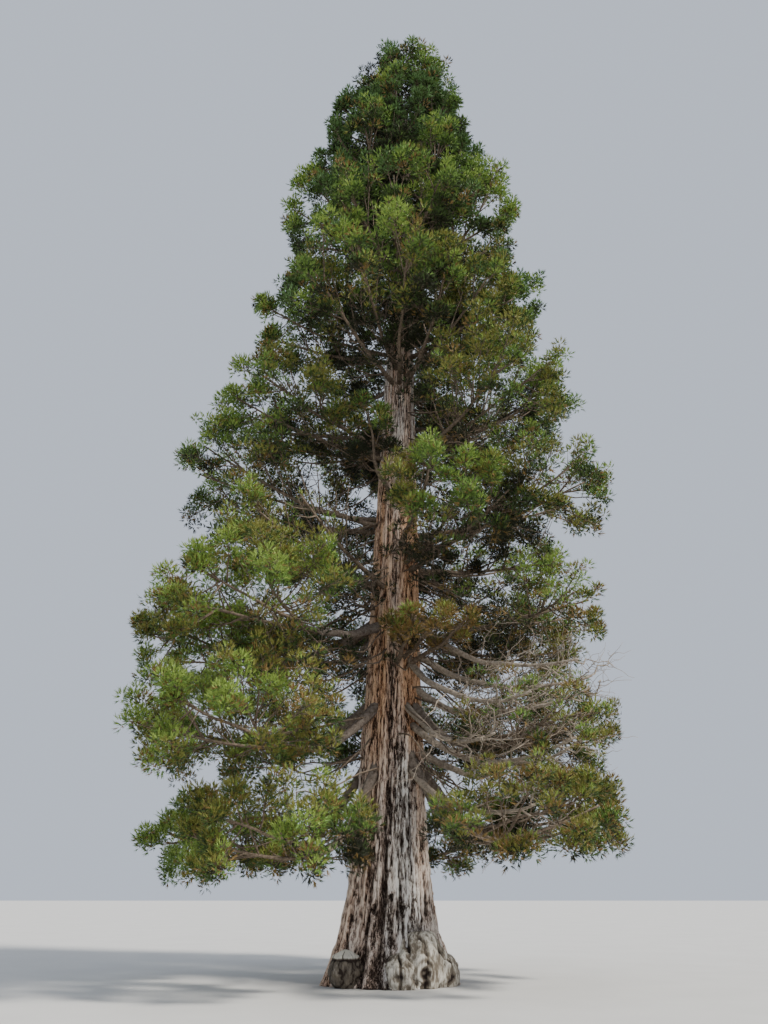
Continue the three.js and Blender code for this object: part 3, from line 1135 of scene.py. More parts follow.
def grow_masses() -> list[Mass]:
    """All masses, set on their boughs or on the trunk by the solids' rule.

    Returns:
        The masses from the skirt up, and the leader's last.
    """
    masses: list[Mass] = []
    for tier in TIERS:
        for i, heading in enumerate(tier.headings):
            seed = len(masses) + 1
            axes = np.stack([outward(float(heading)), outward(heading + 90.0), UP])
            scatter = float(jitter(seed, REACH_CHOICE, REACH_SCATTER))
            reach = tier.reach * tier.scales[i] * (1.0 + scatter - WIDER_LEFT * axes[0, 0])
            half = np.array(tier.half) * tier.scales[i]
            middle = FORM.axis(tier.pad + tier.rises[i]) + axes[0] * (reach - half[0])
            name = f"{tier.name}_foliage_{i + 1}"
            dense = heading != tier.thin
            mass = Mass(name, tier.name, seed, axes, middle, half, tier.twigs, dense, float(heading))
            if tier.foot:
                height = tier.foot + BOUGH_RISE * tier.rises[i]
                height = height + float(jitter(seed, FOOT_CHOICE, FOOT_SCATTER))
                foot = FORM.axis(height) + axes[0] * FORM.radius(height) * BOUGH_DEPTH
                tip = mass.place(BOUGH_TIP_AIM, 1.0)
                sag = foot + (tip - foot) * BOUGH_BEND
                sag[2] = min(foot[2], tip[2]) - BOUGH_SAG * np.linalg.norm(tip - foot)
                mass.bough = np.stack([foot, sag, tip])
                mass.bough_name = f"{tier.name}_bough_{i + 1}"
                mass.start = unit(tip - sag)
                mass.root = tip + mass.start * SEAT_GAP
            else:
                mass.start = axes[0]
                mass.root = FORM.axis(middle[2] + STEM_START_RISE * half[2])
            masses.append(mass)
    axes = np.stack([outward(0.0), outward(90.0), UP])
    middle, half = FORM.axis(LEADER_PAD), np.array(LEADER_HALF)
    leader = Mass("leader_foliage", "leader", len(masses) + 1, axes, middle, half, LEADER_TWIGS, True, 0.0)
    leader.start = UP
    leader.root = FORM.axis(FORM.top) + UP * SEAT_GAP
    return masses + [leader]


# Boughs


@dataclass
class Boughs:
    """The limbs of the three lowest tiers, from a collar on the trunk to their masses, one piece a tier."""

    sides: int = 18
    steps: int = 44
    collar: float = 0.3
    ridge: float = 0.1
    sway: float = 0.035

    def shape(self, mass: Mass) -> Shape:
        """One bough: a tapering tube on its curve, swollen at the collar, with knotty relief.

        Radius = taper x (1 + collar x exp(-9 t)) x (1 + relief noise).

        Args:
            mass: The mass that the bough carries.

        Returns:
            The closed tube.
        """
        t = np.linspace(0.0, 1.0, self.steps)
        places = [np.stack(np.broadcast_arrays(7.0 * t, mass.seed, 3.0 * i), axis=-1) for i in range(3)]
        stray = np.stack([noise(place, 41) for place in places], axis=-1)
        path = bezier(mass.bough, t) + self.sway * stray * np.sin(math.pi * t)[:, None]
        taper = BOUGH_FOOT_RADIUS + (BOUGH_TIP_RADIUS - BOUGH_FOOT_RADIUS) * t
        taper = taper * (1.0 + self.collar * np.exp(-9.0 * t))
        angle = turns(self.sides)
        along = 14.0 * t[:, None] + 10.0 * mass.seed
        where = np.stack(np.broadcast_arrays(2.2 * np.cos(angle), 2.2 * np.sin(angle), along), axis=-1)
        ridges = 1.0 + self.ridge * noise(where, 42) + 0.5 * self.ridge * noise(2.3 * where, 43)
        return tubes(path[None], (taper[:, None] * ridges)[None], self.sides)

    def build(self, masses: list[Mass]) -> None:
        """Makes and dresses each tier's boughs.

        Args:
            masses: All masses.
        """
        bark = BOUGH_BARK.material()
        for tier in [tier.name for tier in TIERS if tier.foot]:
            carried = [mass for mass in masses if mass.tier == tier]
            shape = joined([self.shape(mass) for mass in carried])
            piece = put(f"boughs_{tier}", shape, [bark], True)
            dress(piece, [mass.bough_name for mass in carried])


# Twigs and needles


def fork(parents: Array, count: int, first: float, length: Array | float, lift: float, seed: int) -> Array:
    """Children that leave each parent's curve by the golden angle, in the source's manner.

    A child's way is 0.75 of the swing round the parent and 0.65 of the parent's own way, lifted.

    Args:
        parents: Curves [N, 3, 3].
        count: Children of each.
        first: Share along the parent at which the first may leave.
        length: Their lengths, one number or [N, 1].
        lift: How far their tips turn up.
        seed: Seed of their choices.

    Returns:
        Curves [N * count, 3, 3].
    """
    k = np.arange(count)
    p = np.arange(len(parents))[:, None]
    place = first + (1.0 - first) * (k + 0.3 + 0.4 * hashed(seed, 40 * p + k)) / count
    roots = bezier(parents, place)
    along = unit(bezier(parents, place + 0.04) - roots)
    side = unit(np.cross(along, UP))
    over = np.cross(side, along)
    angle = GOLDEN_TURN * k + 2.0 * math.pi * hashed(seed + 7, p)
    swing = unit(np.cos(angle)[..., None] * side + 0.6 * np.sin(angle)[..., None] * over)
    size = (length * (1.25 - 0.5 * place) * (0.65 + 0.6 * hashed(seed + 3, 40 * p + k)))[..., None]
    way = unit(0.75 * swing + 0.65 * along)
    tips = roots + size * unit(way + lift * UP)
    return np.stack([roots, roots + 0.5 * size * way, tips], axis=2).reshape(-1, 3, 3)


def wandering(curves: Array, steps: int, sway: float, seed: int) -> Array:
    """Paths along curves that stray a little to either side, and not at their ends.

    Args:
        curves: Curves [N, 3, 3].
        steps: Points along each.
        sway: How far they stray.
        seed: Which noise.

    Returns:
        Paths [N, steps, 3].
    """
    t = np.linspace(0.0, 1.0, steps)
    paths = bezier(curves, np.broadcast_to(t, (len(curves), steps)))
    row = np.arange(len(curves))[:, None] * 3.7 + seed
    where = np.stack(np.broadcast_arrays(5.0 * t[None, :], row, 0.5 * row), axis=-1)
    stray = np.stack([noise(where + 9.0 * i, 51) for i in range(3)], axis=-1)
    return paths + sway * stray * np.sin(math.pi * t)[:, None]


def limb_tubes(
    curves: Array, steps: int, sides: int, foot: float, tip: float, sway: float, seed: int
) -> Shape:
    """Tapering tubes along wandering curves.

    Radius = foot + (tip - foot) t^0.8.

    Args:
        curves: Curves [N, 3, 3].
        steps: Rings of each.
        sides: Corners of a ring.
        foot: Radius where they start.
        tip: Radius where they end.
        sway: How far they stray.
        seed: Which noise.

    Returns:
        The tubes as one shape.
    """
    t = np.linspace(0.0, 1.0, steps)
    radii = np.broadcast_to(foot + (tip - foot) * t**0.8, (len(curves), steps))
    return tubes(wandering(curves, steps, sway, seed), radii, sides)


@dataclass
class Growth:
    """What grows in one mass: curves of wood, and for each sprig the way its tuft looks and its radius."""

    limbs: Array
    whips: Array
    pads: Array
    sprigs: Array
    facing: Array
    sizes: Array


def tint_table(*tints: Tint) -> Array:
    """The numbers of some tints."""
    return np.array([tint.value for tint in tints])


# What each tint turns to where it is lit and where it is shaded, in the order of Tint
LIGHTER = tint_table(Tint.LIT_GREEN, Tint.LIT_GREEN, Tint.LEAF, Tint.LEAF, Tint.LIT_GREEN, Tint.OLIVE, Tint.DEEP)
DARKER = tint_table(Tint.LEAF, Tint.DEEP, Tint.DUSK, Tint.DEEP, Tint.DEEP, Tint.DUSK, Tint.DUSK)

# The greens from dark to bright, and the brightness at which each next one starts
GREENS = tint_table(Tint.DUSK, Tint.DEEP, Tint.LEAF, Tint.LIT_GREEN)
BRIGHT_STEPS = (0.2, 0.43, 0.66)

# How far needles may pass the +X, +Y and upper sides of the solids' box
BOX_ROOM = 0.05

# Share of the trunk's radius at which limbs and whips start
LIMB_DEPTH = 0.8
WHIP_DEPTH = 0.85


@dataclass(frozen=True)
class FrontClump:
    """A clump of foliage that hides the left of the trunk, on a limb of its own, in one mass's storey."""

    mass: str = "shoulder_foliage_1"
    heading: float = 250.0
    foot: float = 10.2
    end: Triple = (-0.42, -1.75, 11.7)
    pads: int = 8
    pad_length: float = 0.72
    size: float = 0.95
    # brightness raises the painted light level of its tufts near the limb's end, so they are painted lighter.
    brightness: float = 0.5

    def limb(self) -> Array:
        """Start, bend and end of its limb.

        Returns:
            Array [1, 3, 3].
        """
        root = FORM.axis(self.foot) + outward(self.heading) * FORM.radius(self.foot) * LIMB_DEPTH
        end = np.array(self.end)
        bend = root + 0.5 * np.linalg.norm(end - root) * outward(self.heading)
        return np.stack([root, bend, end])[None]

    def nearness(self, points: Array) -> Array:
        """1 at the end of its limb, falling to 0 round it."""
        return np.exp(-np.sum((points - np.array(self.end)) ** 2, axis=-1) / self.size)


@dataclass(frozen=True)
class OpenPlace:
    """A place beside the trunk with bare limbs and gaps of sky: the middle and half-sizes of its space."""

    middle: Triple = (-1.15, -2.6, 8.85)
    half: Triple = (1.45, 2.2, 1.15)
    ragged: float = 0.22

    def outside(self, points: Array) -> Array:
        """Which points lie outside its ragged edge."""
        far = np.linalg.norm((points - np.array(self.middle)) / np.array(self.half), axis=-1)
        return far > 1.0 + self.ragged * noise(points * 1.1, 66)


CLUMP = FrontClump()
OPEN_LEFT = OpenPlace()


@dataclass(frozen=True)
class NeedleSize:
    """The needles of a storey: how many a spray has, and their length and width."""

    each: int
    length: float
    width: float


LOW_NEEDLES = NeedleSize(6, 0.095, 0.0195)
SPROUT_NEEDLES = NeedleSize(8, 0.09, 0.015)
MIDDLE_NEEDLES = NeedleSize(5, 0.1, 0.0225)
TOP_NEEDLES = NeedleSize(4, 0.105, 0.028)


@dataclass(frozen=True)
class Storey:
    """How the foliage of one tier grows.

    bare is the share of the reach that is bare wood, whips the number of thin bare limbs of each mass and
    shaded whether they bear a few tufts. thin_share is the share of its tufts that a sparse mass keeps.
    olive and bronze add to those tints, and shade is the share of the lower sprays that are darker.
    """

    needles: NeedleSize
    bare: float = 0.0
    whips: int = 0
    shaded: bool = False
    thin_share: float = 1.0
    olive: float = 0.0
    bronze: float = 0.0
    shade: float = 0.75


STOREYS = {
    "skirt": Storey(LOW_NEEDLES, 0.36, 3, False, 0.75),
    "lower": Storey(LOW_NEEDLES, 0.4, 3, False, 0.28),
    "sprout": Storey(SPROUT_NEEDLES, 0.3, 8, False, 0.5, olive=0.3, bronze=0.42, shade=0.2),
    "waist": Storey(LOW_NEEDLES, 0.46, 8, True, 0.45),
    "middle": Storey(MIDDLE_NEEDLES, 0.46, 8, True),
    "shoulder": Storey(MIDDLE_NEEDLES, 0.42, 8, True),
    "high": Storey(TOP_NEEDLES, 0.3, 8, True),
    "neck": Storey(TOP_NEEDLES, 0.2, 8, True),
    "crown": Storey(TOP_NEEDLES, 0.12, 8, True),
    "cap": Storey(TOP_NEEDLES),
    "leader": Storey(TOP_NEEDLES),
}


@dataclass
class Foliage:
    """All foliage, from limb to needle.

    Each mass has limbs; pads leave them by the rule; sprigs leave a pad's outer part; each sprig ends in a
    tuft, a dome of sprays; a spray is a short axis with needles round it. Near the trunk the wood is bare.

    cushion is the share along a pad where its sprigs start, and inset how far its end stays back. Tufts
    keep inside the share space of their own mass and outside the share heart of the others, and clear
    of the trunk's bark by clearance. ragged is how uneven the edge of the bare inside is, and bare_back
    how much of it there is on the far side of the tree. dome is how far a tuft's sprays reach down its
    dome: 1 is its rim.
    """

    pads_per_twig: int = 5
    sprigs_per_pad: int = 10
    sprays_per_tuft: int = 15
    sprigs_per_whip: int = 8
    tuft_radius: float = 0.185
    inset: float = 0.2
    cushion: float = 0.52
    space: float = 1.03
    heart: float = 0.5
    clearance: float = 0.34
    ragged: float = 0.12
    bare_back: float = 0.4
    dome: float = 1.42

    def limbs(self, mass: Mass) -> Array:
        """Three limbs of a mass: the solids' stem, and one on either side of it.

        Args:
            mass: The mass.

        Returns:
            Curves [3, 3, 3].
        """
        stem = mass.stem()
        if mass.tier == "leader":
            ends = mass.place(np.array([[-0.35, -0.2, 0.3], [0.35, 0.2, 0.3]]), 1.0)
            return np.stack([stem] + [np.stack([mass.root, mass.root + 0.5 * UP, end]) for end in ends])
        curves = [stem]
        for hand in (-1.0, 1.0):
            end = mass.place(np.array([0.45, 0.55 * hand, 0.05 + 0.1 * hand]), 1.0)
            if mass.bough is not None:
                share = 0.55 + 0.2 * float(hashed(mass.seed, 400 + int(hand)))
                root = bezier(mass.bough, np.array([share]))[0]
                toward = unit(bezier(mass.bough, np.array([share + 0.1]))[0] - root)
            else:
                rise = float(jitter(mass.seed, 410 + int(hand), 0.45)) * mass.half[2]
                turn = mass.heading + 14.0 * hand
                inside = FORM.radius(mass.root[2]) * LIMB_DEPTH
                root = FORM.axis(mass.root[2] + rise) + outward(turn) * inside
                toward = unit(outward(turn) + 0.1 * UP)
            bend = root + toward * 0.45 * np.linalg.norm(end - root)
            curves.append(np.stack([root, bend, end]))
        return np.stack(curves)

    def whips(self, mass: Mass) -> Array:
        """Thin bare limbs from the trunk into a mass, which sag and lift again.

        Args:
            mass: The mass.

        Returns:
            Curves [N, 3, 3].
        """
        count = STOREYS[mass.tier].whips
        if not count:
            return np.zeros((0, 3, 3))
        k = np.arange(count)
        turn = mass.heading + jitter(mass.seed, 700 + k, 34.0)
        level = mass.bough[0, 2] if mass.bough is not None else mass.middle[2] - 0.25 * mass.half[2]
        foot = level + jitter(mass.seed, 720 + k, 0.85) * mass.half[2]
        roots = FORM.axis(foot) + outward(turn) * (FORM.radius(foot) * WHIP_DEPTH)[:, None]
        scatter = ((740, 0.35), (760, 0.75), (780, 0.55))
        aims = np.stack([jitter(mass.seed, choice + k, size) for choice, size in scatter], axis=-1)
        ends = mass.place(aims, np.ones(len(k)))
        span = np.linalg.norm(ends - roots, axis=-1, keepdims=True)
        sag = 0.1 + 0.42 * hashed(mass.seed, 800 + k)[:, None]
        bend = roots + outward(turn) * 0.5 * span - sag * span * UP
        return np.stack([roots, bend, ends], axis=1)

    def pads(self, mass: Mass, limbs: Array) -> Array:
        """Axes of the pads, from a limb to near the mass's limit.

        The first aims are those of the solids' twigs, the next those of their side sprays, and the rest
        lie between them. Each leaves the limb on its own side where its aim is nearest.

        Args:
            mass: The mass.
            limbs: Its limbs' curves.

        Returns:
            Curves [pads, 3, 3].
        """
        main = mass.aims(mass.twigs, 0.5, 0)
        turn = np.where(np.arange(mass.twigs) % 2 == 1, SIDE_TURN, -SIDE_TURN)
        across = main[:, 0] * np.cos(turn) - main[:, 1] * np.sin(turn)
        sideways = main[:, 0] * np.sin(turn) + main[:, 1] * np.cos(turn)
        side = np.stack([across, sideways, main[:, 2]], axis=-1)
        more = mass.aims(mass.twigs * (self.pads_per_twig - 2), 1.0, 50)
        inner = 0.74 + 0.24 * hashed(mass.seed, 500 + np.arange(len(more)))
        aims = np.concatenate([main, side, more])
        shares = np.concatenate([np.full(len(main), 1.0), np.full(len(side), SIDE_SHARE), inner])
        tips = mass.place(aims, shares)
        limb = np.where(aims[:, 1] < -0.3, 1, np.where(aims[:, 1] > 0.3, 2, 0))
        roots = bezier(limbs[limb], (LEAVE_MIDDLE + LEAVE_RANGE * aims[:, 0])[:, None])[:, 0]
        span = tips - roots
        length = np.linalg.norm(span, axis=-1, keepdims=True)
        tips = roots + span * np.maximum(0.25, 1.0 - self.inset / length)
        stray = jitter(mass.seed, 600 + np.arange(len(tips)), 0.05)[:, None]
        bend = 0.5 * (roots + tips) - 0.09 * length * UP + stray * length * unit(np.cross(UP, span))
        return np.stack([roots, bend, tips], axis=1)[length[:, 0] > 0.35]

    def sprigs(self, mass: Mass, pads: Array) -> Array:
        """Sprigs round the outer part of each pad's axis and at its end, so that their tufts make a cushion.

        Args:
            mass: The mass.
            pads: Its pads' curves.

        Returns:
            Curves [N, 3, 3].
        """
        length = np.linalg.norm(pads[:, 2] - pads[:, 0], axis=-1)[:, None]
        reach = np.clip(0.3 * length, 0.22, 0.44)
        around = fork(pads, self.sprigs_per_pad, self.cushion, reach, 0.35, 900 + mass.seed)
        way = unit(pads[:, 2] - pads[:, 1])
        ends = np.stack([pads[:, 2] - 0.12 * way, pads[:, 2] - 0.05 * way, pads[:, 2]], axis=1)
        return np.concatenate([around, ends])

    def kept(self, mass: Mass, masses: list[Mass], tips: Array) -> Array:
        """Which tufts stand in the mass's space, clear of other hearts, the trunk and the bare inside.

        Args:
            mass: The mass that they belong to.
            masses: All masses.
            tips: Their places [N, 3].

        Returns:
            Booleans [N].
        """
        storey = STOREYS[mass.tier]
        keep = mass.share_of(tips) < self.space
        for other in masses:
            if other is not mass:
                keep &= other.share_of(tips) > self.heart
        out = FORM.away(tips)
        reach = FORM.away(mass.middle) + mass.half[0]
        ragged = self.ragged * reach * noise(tips * 0.8, 63)
        bare = storey.bare * (self.bare_back if mass.middle[1] > 0.5 else 1.0)
        keep &= (out + ragged > bare * reach) | (mass.tier == "leader")
        keep &= (out > FORM.radius(tips[:, 2]) + self.clearance) | (tips[:, 2] > FORM.top)
        keep &= OPEN_LEFT.outside(tips)
        if not mass.dense:
            keep &= hashed(mass.seed, 4000 + np.arange(len(tips))) < storey.thin_share
        return keep

    def grow(self, mass: Mass, masses: list[Mass]) -> Growth:
        """Everything that grows in one mass.

        Args:
            mass: The mass.
            masses: All masses.

        Returns:
            Its wood's curves and its tufts.
        """
        limbs = self.limbs(mass)
        pads = self.pads(mass, limbs)
        sprigs = self.sprigs(mass, pads)
        sprigs = sprigs[self.kept(mass, masses, sprigs[:, 2])]
        whips = self.whips(mass)
        if STOREYS[mass.tier].shaded:
            shaded = fork(whips, self.sprigs_per_whip, 0.12, 0.4, 0.1, 950 + mass.seed)
            clear = FORM.away(shaded[:, 2]) > FORM.radius(shaded[:, 2, 2]) + self.clearance
            sprigs = np.concatenate([sprigs, shaded[clear]])
        if mass.name == CLUMP.mass:
            limb = CLUMP.limb()
            inner = fork(limb, CLUMP.pads, 0.3, CLUMP.pad_length, 0.25, 970)
            limbs = np.concatenate([limbs, limb])
            pads = np.concatenate([pads, inner])
            sprigs = np.concatenate([sprigs, self.sprigs(mass, inner)])
        ways = unit(sprigs[:, 2] - sprigs[:, 1])
        facing = unit(0.5 * ways + 0.35 * unit(sprigs[:, 2] - mass.middle) + 0.75 * UP)
        sizes = self.tuft_radius * (0.78 + 0.44 * hashed(mass.seed, 3000 + np.arange(len(sprigs))))
        return Growth(limbs, whips, pads, sprigs, facing, sizes)

    def wood(self, mass: Mass, growth: Growth) -> Shape:
        """Limbs, whips, pad axes and sprigs of a mass.

        Args:
            mass: The mass.
            growth: What grows there.

        Returns:
            The closed tapering tubes as one shape.
        """
        foot = 0.07 if mass.bough is None else 0.05
        parts = [
            limb_tubes(growth.limbs, 14, 7, foot, 0.018, 0.06, mass.seed),
            limb_tubes(growth.pads, 6, 4, 0.02, 0.007, 0.03, mass.seed + 100),
            limb_tubes(growth.sprigs, 2, 3, 0.009, 0.004, 0.0, mass.seed),
        ]
        if len(growth.whips):
            bare = fork(growth.whips, 4, 0.3, 0.6, 0.1, 800 + mass.seed)
            parts.append(limb_tubes(growth.whips, 14, 4, 0.022, 0.007, 0.3, mass.seed + 200))
            parts.append(limb_tubes(bare, 4, 3, 0.009, 0.003, 0.03, mass.seed + 300))
        return joined(parts)

    def tuft_tints(self, mass: Mass, tufts: Array) -> Array:
        """The tint of each tuft, from where it stands and a repeatable chance.

        Tufts on the upper and outer side of their mass are painted lighter as sunlit, and those below and
        inside painted darker as shade, in patches of half a metre or so. The low left side of the tree is
        painted lighter still as sunlit, and tufts round 10 m and towards the top are darker. The top of the
        tree is bluer, and its low right side and the sprout on the trunk more bronze.

        Args:
            mass: The mass.
            tufts: Places of the tufts [N, 3].

        Returns:
            Numbers of the tints.
        """
        z = tufts[:, 2]
        storey = STOREYS[mass.tier]
        first = hashed(mass.seed, 5000 + np.arange(len(tufts)))
        second = hashed(mass.seed, 7000 + np.arange(len(tufts)))
        local = (tufts - mass.middle) @ mass.axes.T / mass.half
        # Painted light level: high and outer tufts of a mass are painted lighter as sunlit, low and inner
        # ones darker as shade.
        open_sky = 0.49 + 0.42 * local[:, 2] + 0.3 * local[:, 0]
        # Painted sunlight on the low left side of the tree.
        sunlit = smoothstep(0.0, -2.0, tufts[:, 0]) * smoothstep(9.0, 6.5, z)
        dim = 0.16 * smoothstep(18.0, 21.0, z) + 0.15 * bell(z - 10.0, 1.5)
        bright = open_sky + 0.34 * noise(tufts * 1.5, 61) + 0.2 * (second - 0.5) + 0.34 * sunlit - dim
        # The front clump's tufts are painted lighter near its limb's end.
        if mass.name == CLUMP.mass:
            bright = bright + CLUMP.brightness * CLUMP.nearness(tufts)
        # The painted light level picks the green, from painted shade to painted sunlight.
        tint = GREENS[np.searchsorted(BRIGHT_STEPS, bright, side="right")]
        lit = tint != Tint.DUSK.value
        warm = noise(tufts * 0.9, 64) + 0.5 * (first - 0.5)
        olive = warm > 0.28 - 0.2 * smoothstep(15.0, 11.0, z) - storey.olive
        tint = np.where(olive & lit, Tint.OLIVE.value, tint)
        blue = smoothstep(12.0, 19.0, z) * (noise(tufts * 0.8, 62) + 0.4 * (second - 0.5))
        tint = np.where((blue > 0.2) & lit, Tint.BLUE.value, tint)
        right = smoothstep(0.0, 2.5, tufts[:, 0]) * smoothstep(9.5, 6.5, z)
        bronze = 0.06 + 0.2 * right + (0.12 + 0.1 * right) * noise(tufts * 0.7, 63) + storey.bronze
        return np.where(first < bronze, Tint.BRONZE.value, tint)

    def sprays(
        self, mass: Mass, growth: Growth, draw: np.random.Generator
    ) -> tuple[Array, Array, Array, Array]:
        """Sprays on the tufts of a mass.

        A tuft's sprays look out over a dome round its facing, by the golden angle, from its upper pole to
        a little under its rim. Those that look up may be painted lighter as sunlit, and those that look down
        are painted darker as shade, or bronze.

        Args:
            mass: The mass.
            growth: What grows there.
            draw: The mass's chances.

        Returns:
            Roots, tips and outward rays [N, 3] of the sprays, and the numbers of their tints [N].
        """
        tufts = growth.sprigs[:, 2]
        many, count = len(tufts), self.sprays_per_tuft
        k = np.arange(count)
        polar = np.arccos(1.0 - self.dome * (k + 0.5) / count) + draw.normal(0.0, 0.1, (many, count))
        angle = GOLDEN_TURN * k + draw.uniform(0.0, 6.28, (many, 1)) + draw.normal(0.0, 0.2, (many, count))
        side, over = frames(growth.facing, np.broadcast_to(np.array([0.2, -0.9, 0.1]), growth.facing.shape))
        ray = leaning(growth.facing[:, None], side[:, None], over[:, None], polar, angle)
        size = growth.sizes[:, None] * draw.uniform(0.8, 1.12, (many, count))
        flat = 1.0 - 0.2 * np.abs(ray[..., 2:])
        roots = tufts[:, None] - 0.25 * growth.sizes[:, None, None] * growth.facing[:, None]
        roots = roots + (0.55 * size)[..., None] * ray * flat
        tips = roots + (0.45 * size)[..., None] * unit(ray + 0.3 * UP)
        tint = np.broadcast_to(self.tuft_tints(mass, tufts)[:, None], (many, count))
        luck = draw.uniform(0.0, 1.0, (many, count))
        # Painted light: sprays that look up are painted lighter as sunlit, and most that look down darker as
        # shade.
        tint = np.where((ray[..., 2] > 0.6) & (luck < 0.25), LIGHTER[tint], tint)
        below = ray[..., 2] < 0.1
        tint = np.where(below & (luck > 0.84) & (tufts[:, None, 2] < 12.0), Tint.BRONZE.value, tint)
        tint = np.where(below & (luck < STOREYS[mass.tier].shade), DARKER[tint], tint)
        return roots.reshape(-1, 3), tips.reshape(-1, 3), ray.reshape(-1, 3), tint.ravel()

    def needles(self, mass: Mass, growth: Growth) -> Shape:
        """Needles on the sprays of a mass.

        Each spray has one needle ahead and the rest round it; a needle is a triangle that is widest at its
        root, turned to face outwards from the tuft. Needles that would leave the solids' box are left out,
        with a little more room on its +X, +Y and upper sides.

        Args:
            mass: The mass.
            growth: What grows there.

        Returns:
            The triangles, each with the number of its tint.
        """
        needle = STOREYS[mass.tier].needles
        draw = np.random.default_rng(mass.seed)
        roots, tips, ray, tint = self.sprays(mass, growth, draw)
        along = unit(tips - roots)
        side, over = frames(along, unit(np.cross(along, draw.normal(0.0, 1.0, along.shape))))
        j = np.arange(needle.each)
        lean = np.where(j == 0, 0.0, 0.3 + 0.2 * hashed(5, j))
        start = np.where(j == 0, 0.5, (j - 1.0) / needle.each)
        spray = np.linalg.norm(tips - roots, axis=-1)[:, None, None]
        base = roots[:, None] + start[:, None] * spray * along[:, None]
        heads = leaning(along[:, None], side[:, None], over[:, None], lean, GOLDEN_TURN * j)
        shape = (len(roots), needle.each, 1)
        long = needle.length * draw.uniform(0.75, 1.2, shape)
        width = 0.5 * needle.width * draw.uniform(0.8, 1.2, shape)
        twist = draw.normal(0.0, 0.3, shape)
        facing = unit(0.6 * ray + 0.5 * UP)[:, None]
        across, face = frames(heads, np.broadcast_to(facing, heads.shape))
        across = np.cos(twist) * across + np.sin(twist) * face
        corners = np.stack([base - width * across, base + width * across, base + long * heads], axis=2)
        low, high = (np.array(corner) for corner in SOLIDS_BOX)
        inside = np.all((corners > low) & (corners < high + BOX_ROOM), axis=(2, 3))
        points = corners[inside].reshape(-1, 3)
        which = np.broadcast_to(tint[:, None], inside.shape)[inside]
        return Shape(points, np.arange(len(points)).reshape(-1, 3), which)

    def build(self, masses: list[Mass]) -> None:
        """Makes each tier's twigs and needles as joined pieces and dresses them.

        Args:
            masses: All masses.
        """
        twig_bark = TWIG_BARK.material()
        finishes = [NeedleFinish(tint).material() for tint in Tint]
        for tier in [tier.name for tier in TIERS] + ["leader"]:
            members = [mass for mass in masses if mass.tier == tier]
            growths = [self.grow(mass, masses) for mass in members]
            names = [mass.name for mass in members]
            wood = joined([self.wood(mass, growth) for mass, growth in zip(members, growths)])
            dress(put(f"twigs_{tier}", wood, [twig_bark], True), names)
            green = joined([self.needles(mass, growth) for mass, growth in zip(members, growths)])
            dress(put(f"needles_{tier}", green, finishes, False), names)


def within(curves: Array) -> Array:
    """Those curves [N, 3, 3] whose ends keep to the solids' box."""
    low, high = (np.array(corner) for corner in SOLIDS_BOX)
    return curves[np.all((curves[:, 2] > low) & (curves[:, 2] < high), axis=1)]


@dataclass
class DeadWood:
    """Bleached limbs of the low right side: each forks into branches, and those into fine twigs.

    A limb is its heading, the height of its foot, its length, and how far its end lies below its foot.
    """

    limbs: tuple[tuple[float, float, float, float], ...] = (
        (320.0, 4.8, 3.7, 0.65),
        (334.0, 5.6, 3.7, 0.35),
        (308.0, 6.2, 3.4, 1.3),
        (346.0, 4.3, 3.5, -0.2),
        (326.0, 7.2, 3.7, 1.5),
        (312.0, 3.9, 3.1, 0.9),
        (340.0, 6.4, 3.7, 0.8),
        (302.0, 5.2, 2.8, 1.0),
    )
    branches: int = 11
    twigs: int = 8

    def build(self) -> None:
        """Makes the dead limbs as one piece and dresses it."""
        heading, foot, length, fall = (np.array(column) for column in zip(*self.limbs))
        way = outward(heading)
        roots = FORM.axis(foot) + way * (FORM.radius(foot) * WHIP_DEPTH)[:, None]
        ends = FORM.axis(foot) + way * (FORM.radius(foot) + length)[:, None] - fall[:, None] * UP
        bend = 0.55 * roots + 0.45 * ends - (0.3 * length)[:, None] * UP
        limbs = np.stack([roots, bend, ends], axis=1)
        branches = within(fork(limbs, self.branches, 0.28, 1.25, 0.1, 81))
        twigs = within(fork(branches, self.twigs, 0.15, 0.5, 0.12, 82))
        parts = [
            limb_tubes(limbs, 26, 9, 0.085, 0.022, 0.14, 83),
            limb_tubes(branches, 9, 5, 0.02, 0.006, 0.16, 84),
            limb_tubes(twigs, 5, 3, 0.007, 0.003, 0.07, 85),
        ]
        piece = put("dead_limbs", joined(parts), [DEAD_BARK.material()], True)
        dress(piece, ["skirt_foliage_2", "lower_foliage_2", "waist_foliage_3"])


# Camera, light and floor


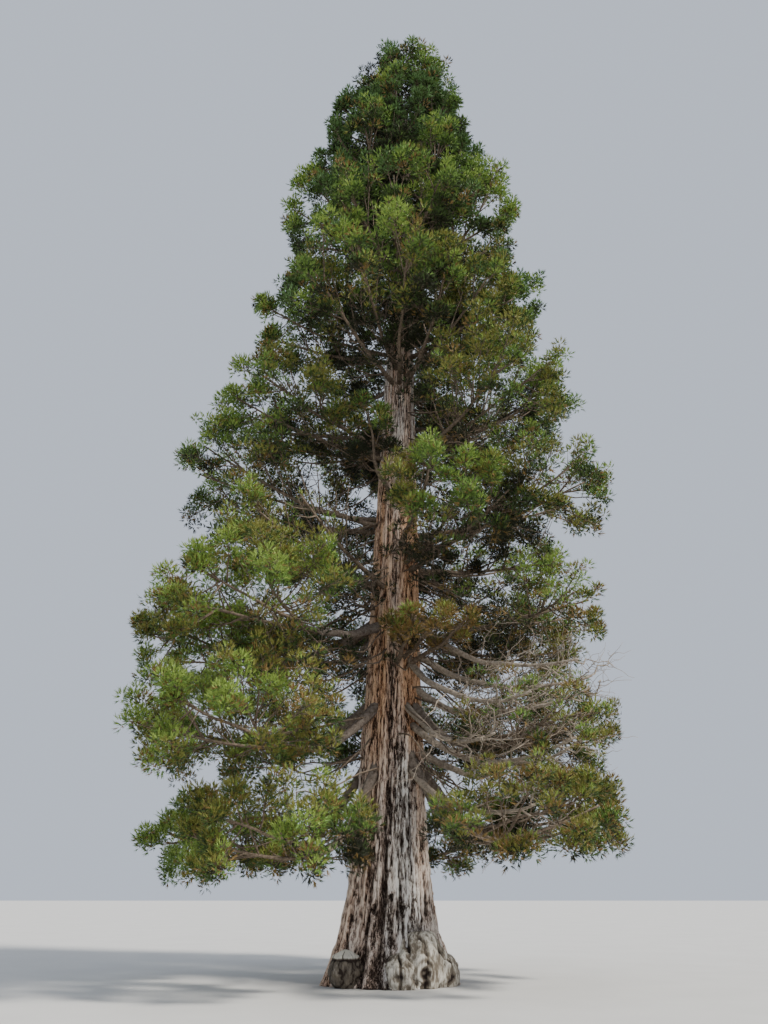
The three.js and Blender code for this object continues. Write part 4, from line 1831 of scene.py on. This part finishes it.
@dataclass(frozen=True)
class Studio:
    """Where the photograph was taken from, a soft sun from the front right, and a plain pale floor."""

    eye: Triple = (-0.05, -18.2, 1.6)
    pitch: float = 24.6
    lens: float = 29.11
    sensor: float = 36.0
    sight: float = 400.0
    sun_energy: float = 4.9
    sun_width: float = 9.0
    sun_colour: Triple = (1.0, 0.96, 0.88)
    sun_tilt: float = 45.0
    sun_turn: float = 60.0
    sky_colour: Colour = (0.78, 0.86, 1.0, 1.0)
    sky_strength: float = 0.8
    floor_half: float = 150.0
    floor_level: float = -0.001

    def camera(self) -> None:
        """Makes the camera and gives it to the scene."""
        data = bpy.data.cameras.new("camera")
        data.lens = self.lens
        data.sensor_width = self.sensor
        data.clip_end = self.sight
        camera = bpy.data.objects.new("camera", data)
        camera.location = self.eye
        camera.rotation_euler = (math.radians(90.0 + self.pitch), 0.0, 0.0)
        bpy.context.scene.collection.objects.link(camera)
        bpy.context.scene.camera = camera

    def light(self) -> None:
        """Makes the soft sun and the pale surroundings."""
        data = bpy.data.lights.new("sun", "SUN")
        data.energy = self.sun_energy
        data.angle = math.radians(self.sun_width)
        data.color = self.sun_colour
        sun = bpy.data.objects.new("sun", data)
        sun.rotation_euler = (math.radians(self.sun_tilt), 0.0, math.radians(self.sun_turn))
        bpy.context.scene.collection.objects.link(sun)
        world = bpy.data.worlds.new("surroundings")
        world.use_nodes = True
        background = world.node_tree.nodes["Background"]
        background.inputs["Color"].default_value = self.sky_colour
        background.inputs["Strength"].default_value = self.sky_strength
        bpy.context.scene.world = world

    def floor(self) -> None:
        """Makes the floor, which is no part of the tree."""
        half, z = self.floor_half, self.floor_level
        corners = np.array([[-half, -half, z], [half, -half, z], [half, half, z], [-half, half, z]])
        n = Nodes("floor")
        n.shader.inputs["Roughness"].default_value = 0.9
        colour = n.ramp(n.noise((0.6,) * 3, 2.0), [(0.3, srgb(206, 204, 200)), (0.7, srgb(212, 210, 206))])
        n.link(colour, n.shader.inputs["Base Color"])
        floor = put("floor", Shape(corners, np.array([[0, 1, 2], [0, 2, 3]])), [n.material], False)


def write_sizes() -> None:
    """Brings the view layer up to date."""
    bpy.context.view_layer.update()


def main() -> None:
    """Builds the camera, light and floor, then the tree from the foot up."""
    logging.basicConfig(level=logging.INFO, format="%(message)s")
    studio = Studio()
    studio.camera()
    studio.light()
    studio.floor()
    Trunk().build()
    BurledFoot().build()
    masses = grow_masses()
    Boughs().build(masses)
    Foliage().build(masses)
    DeadWood().build()
    write_sizes()


if __name__ == "__main__":
    main()
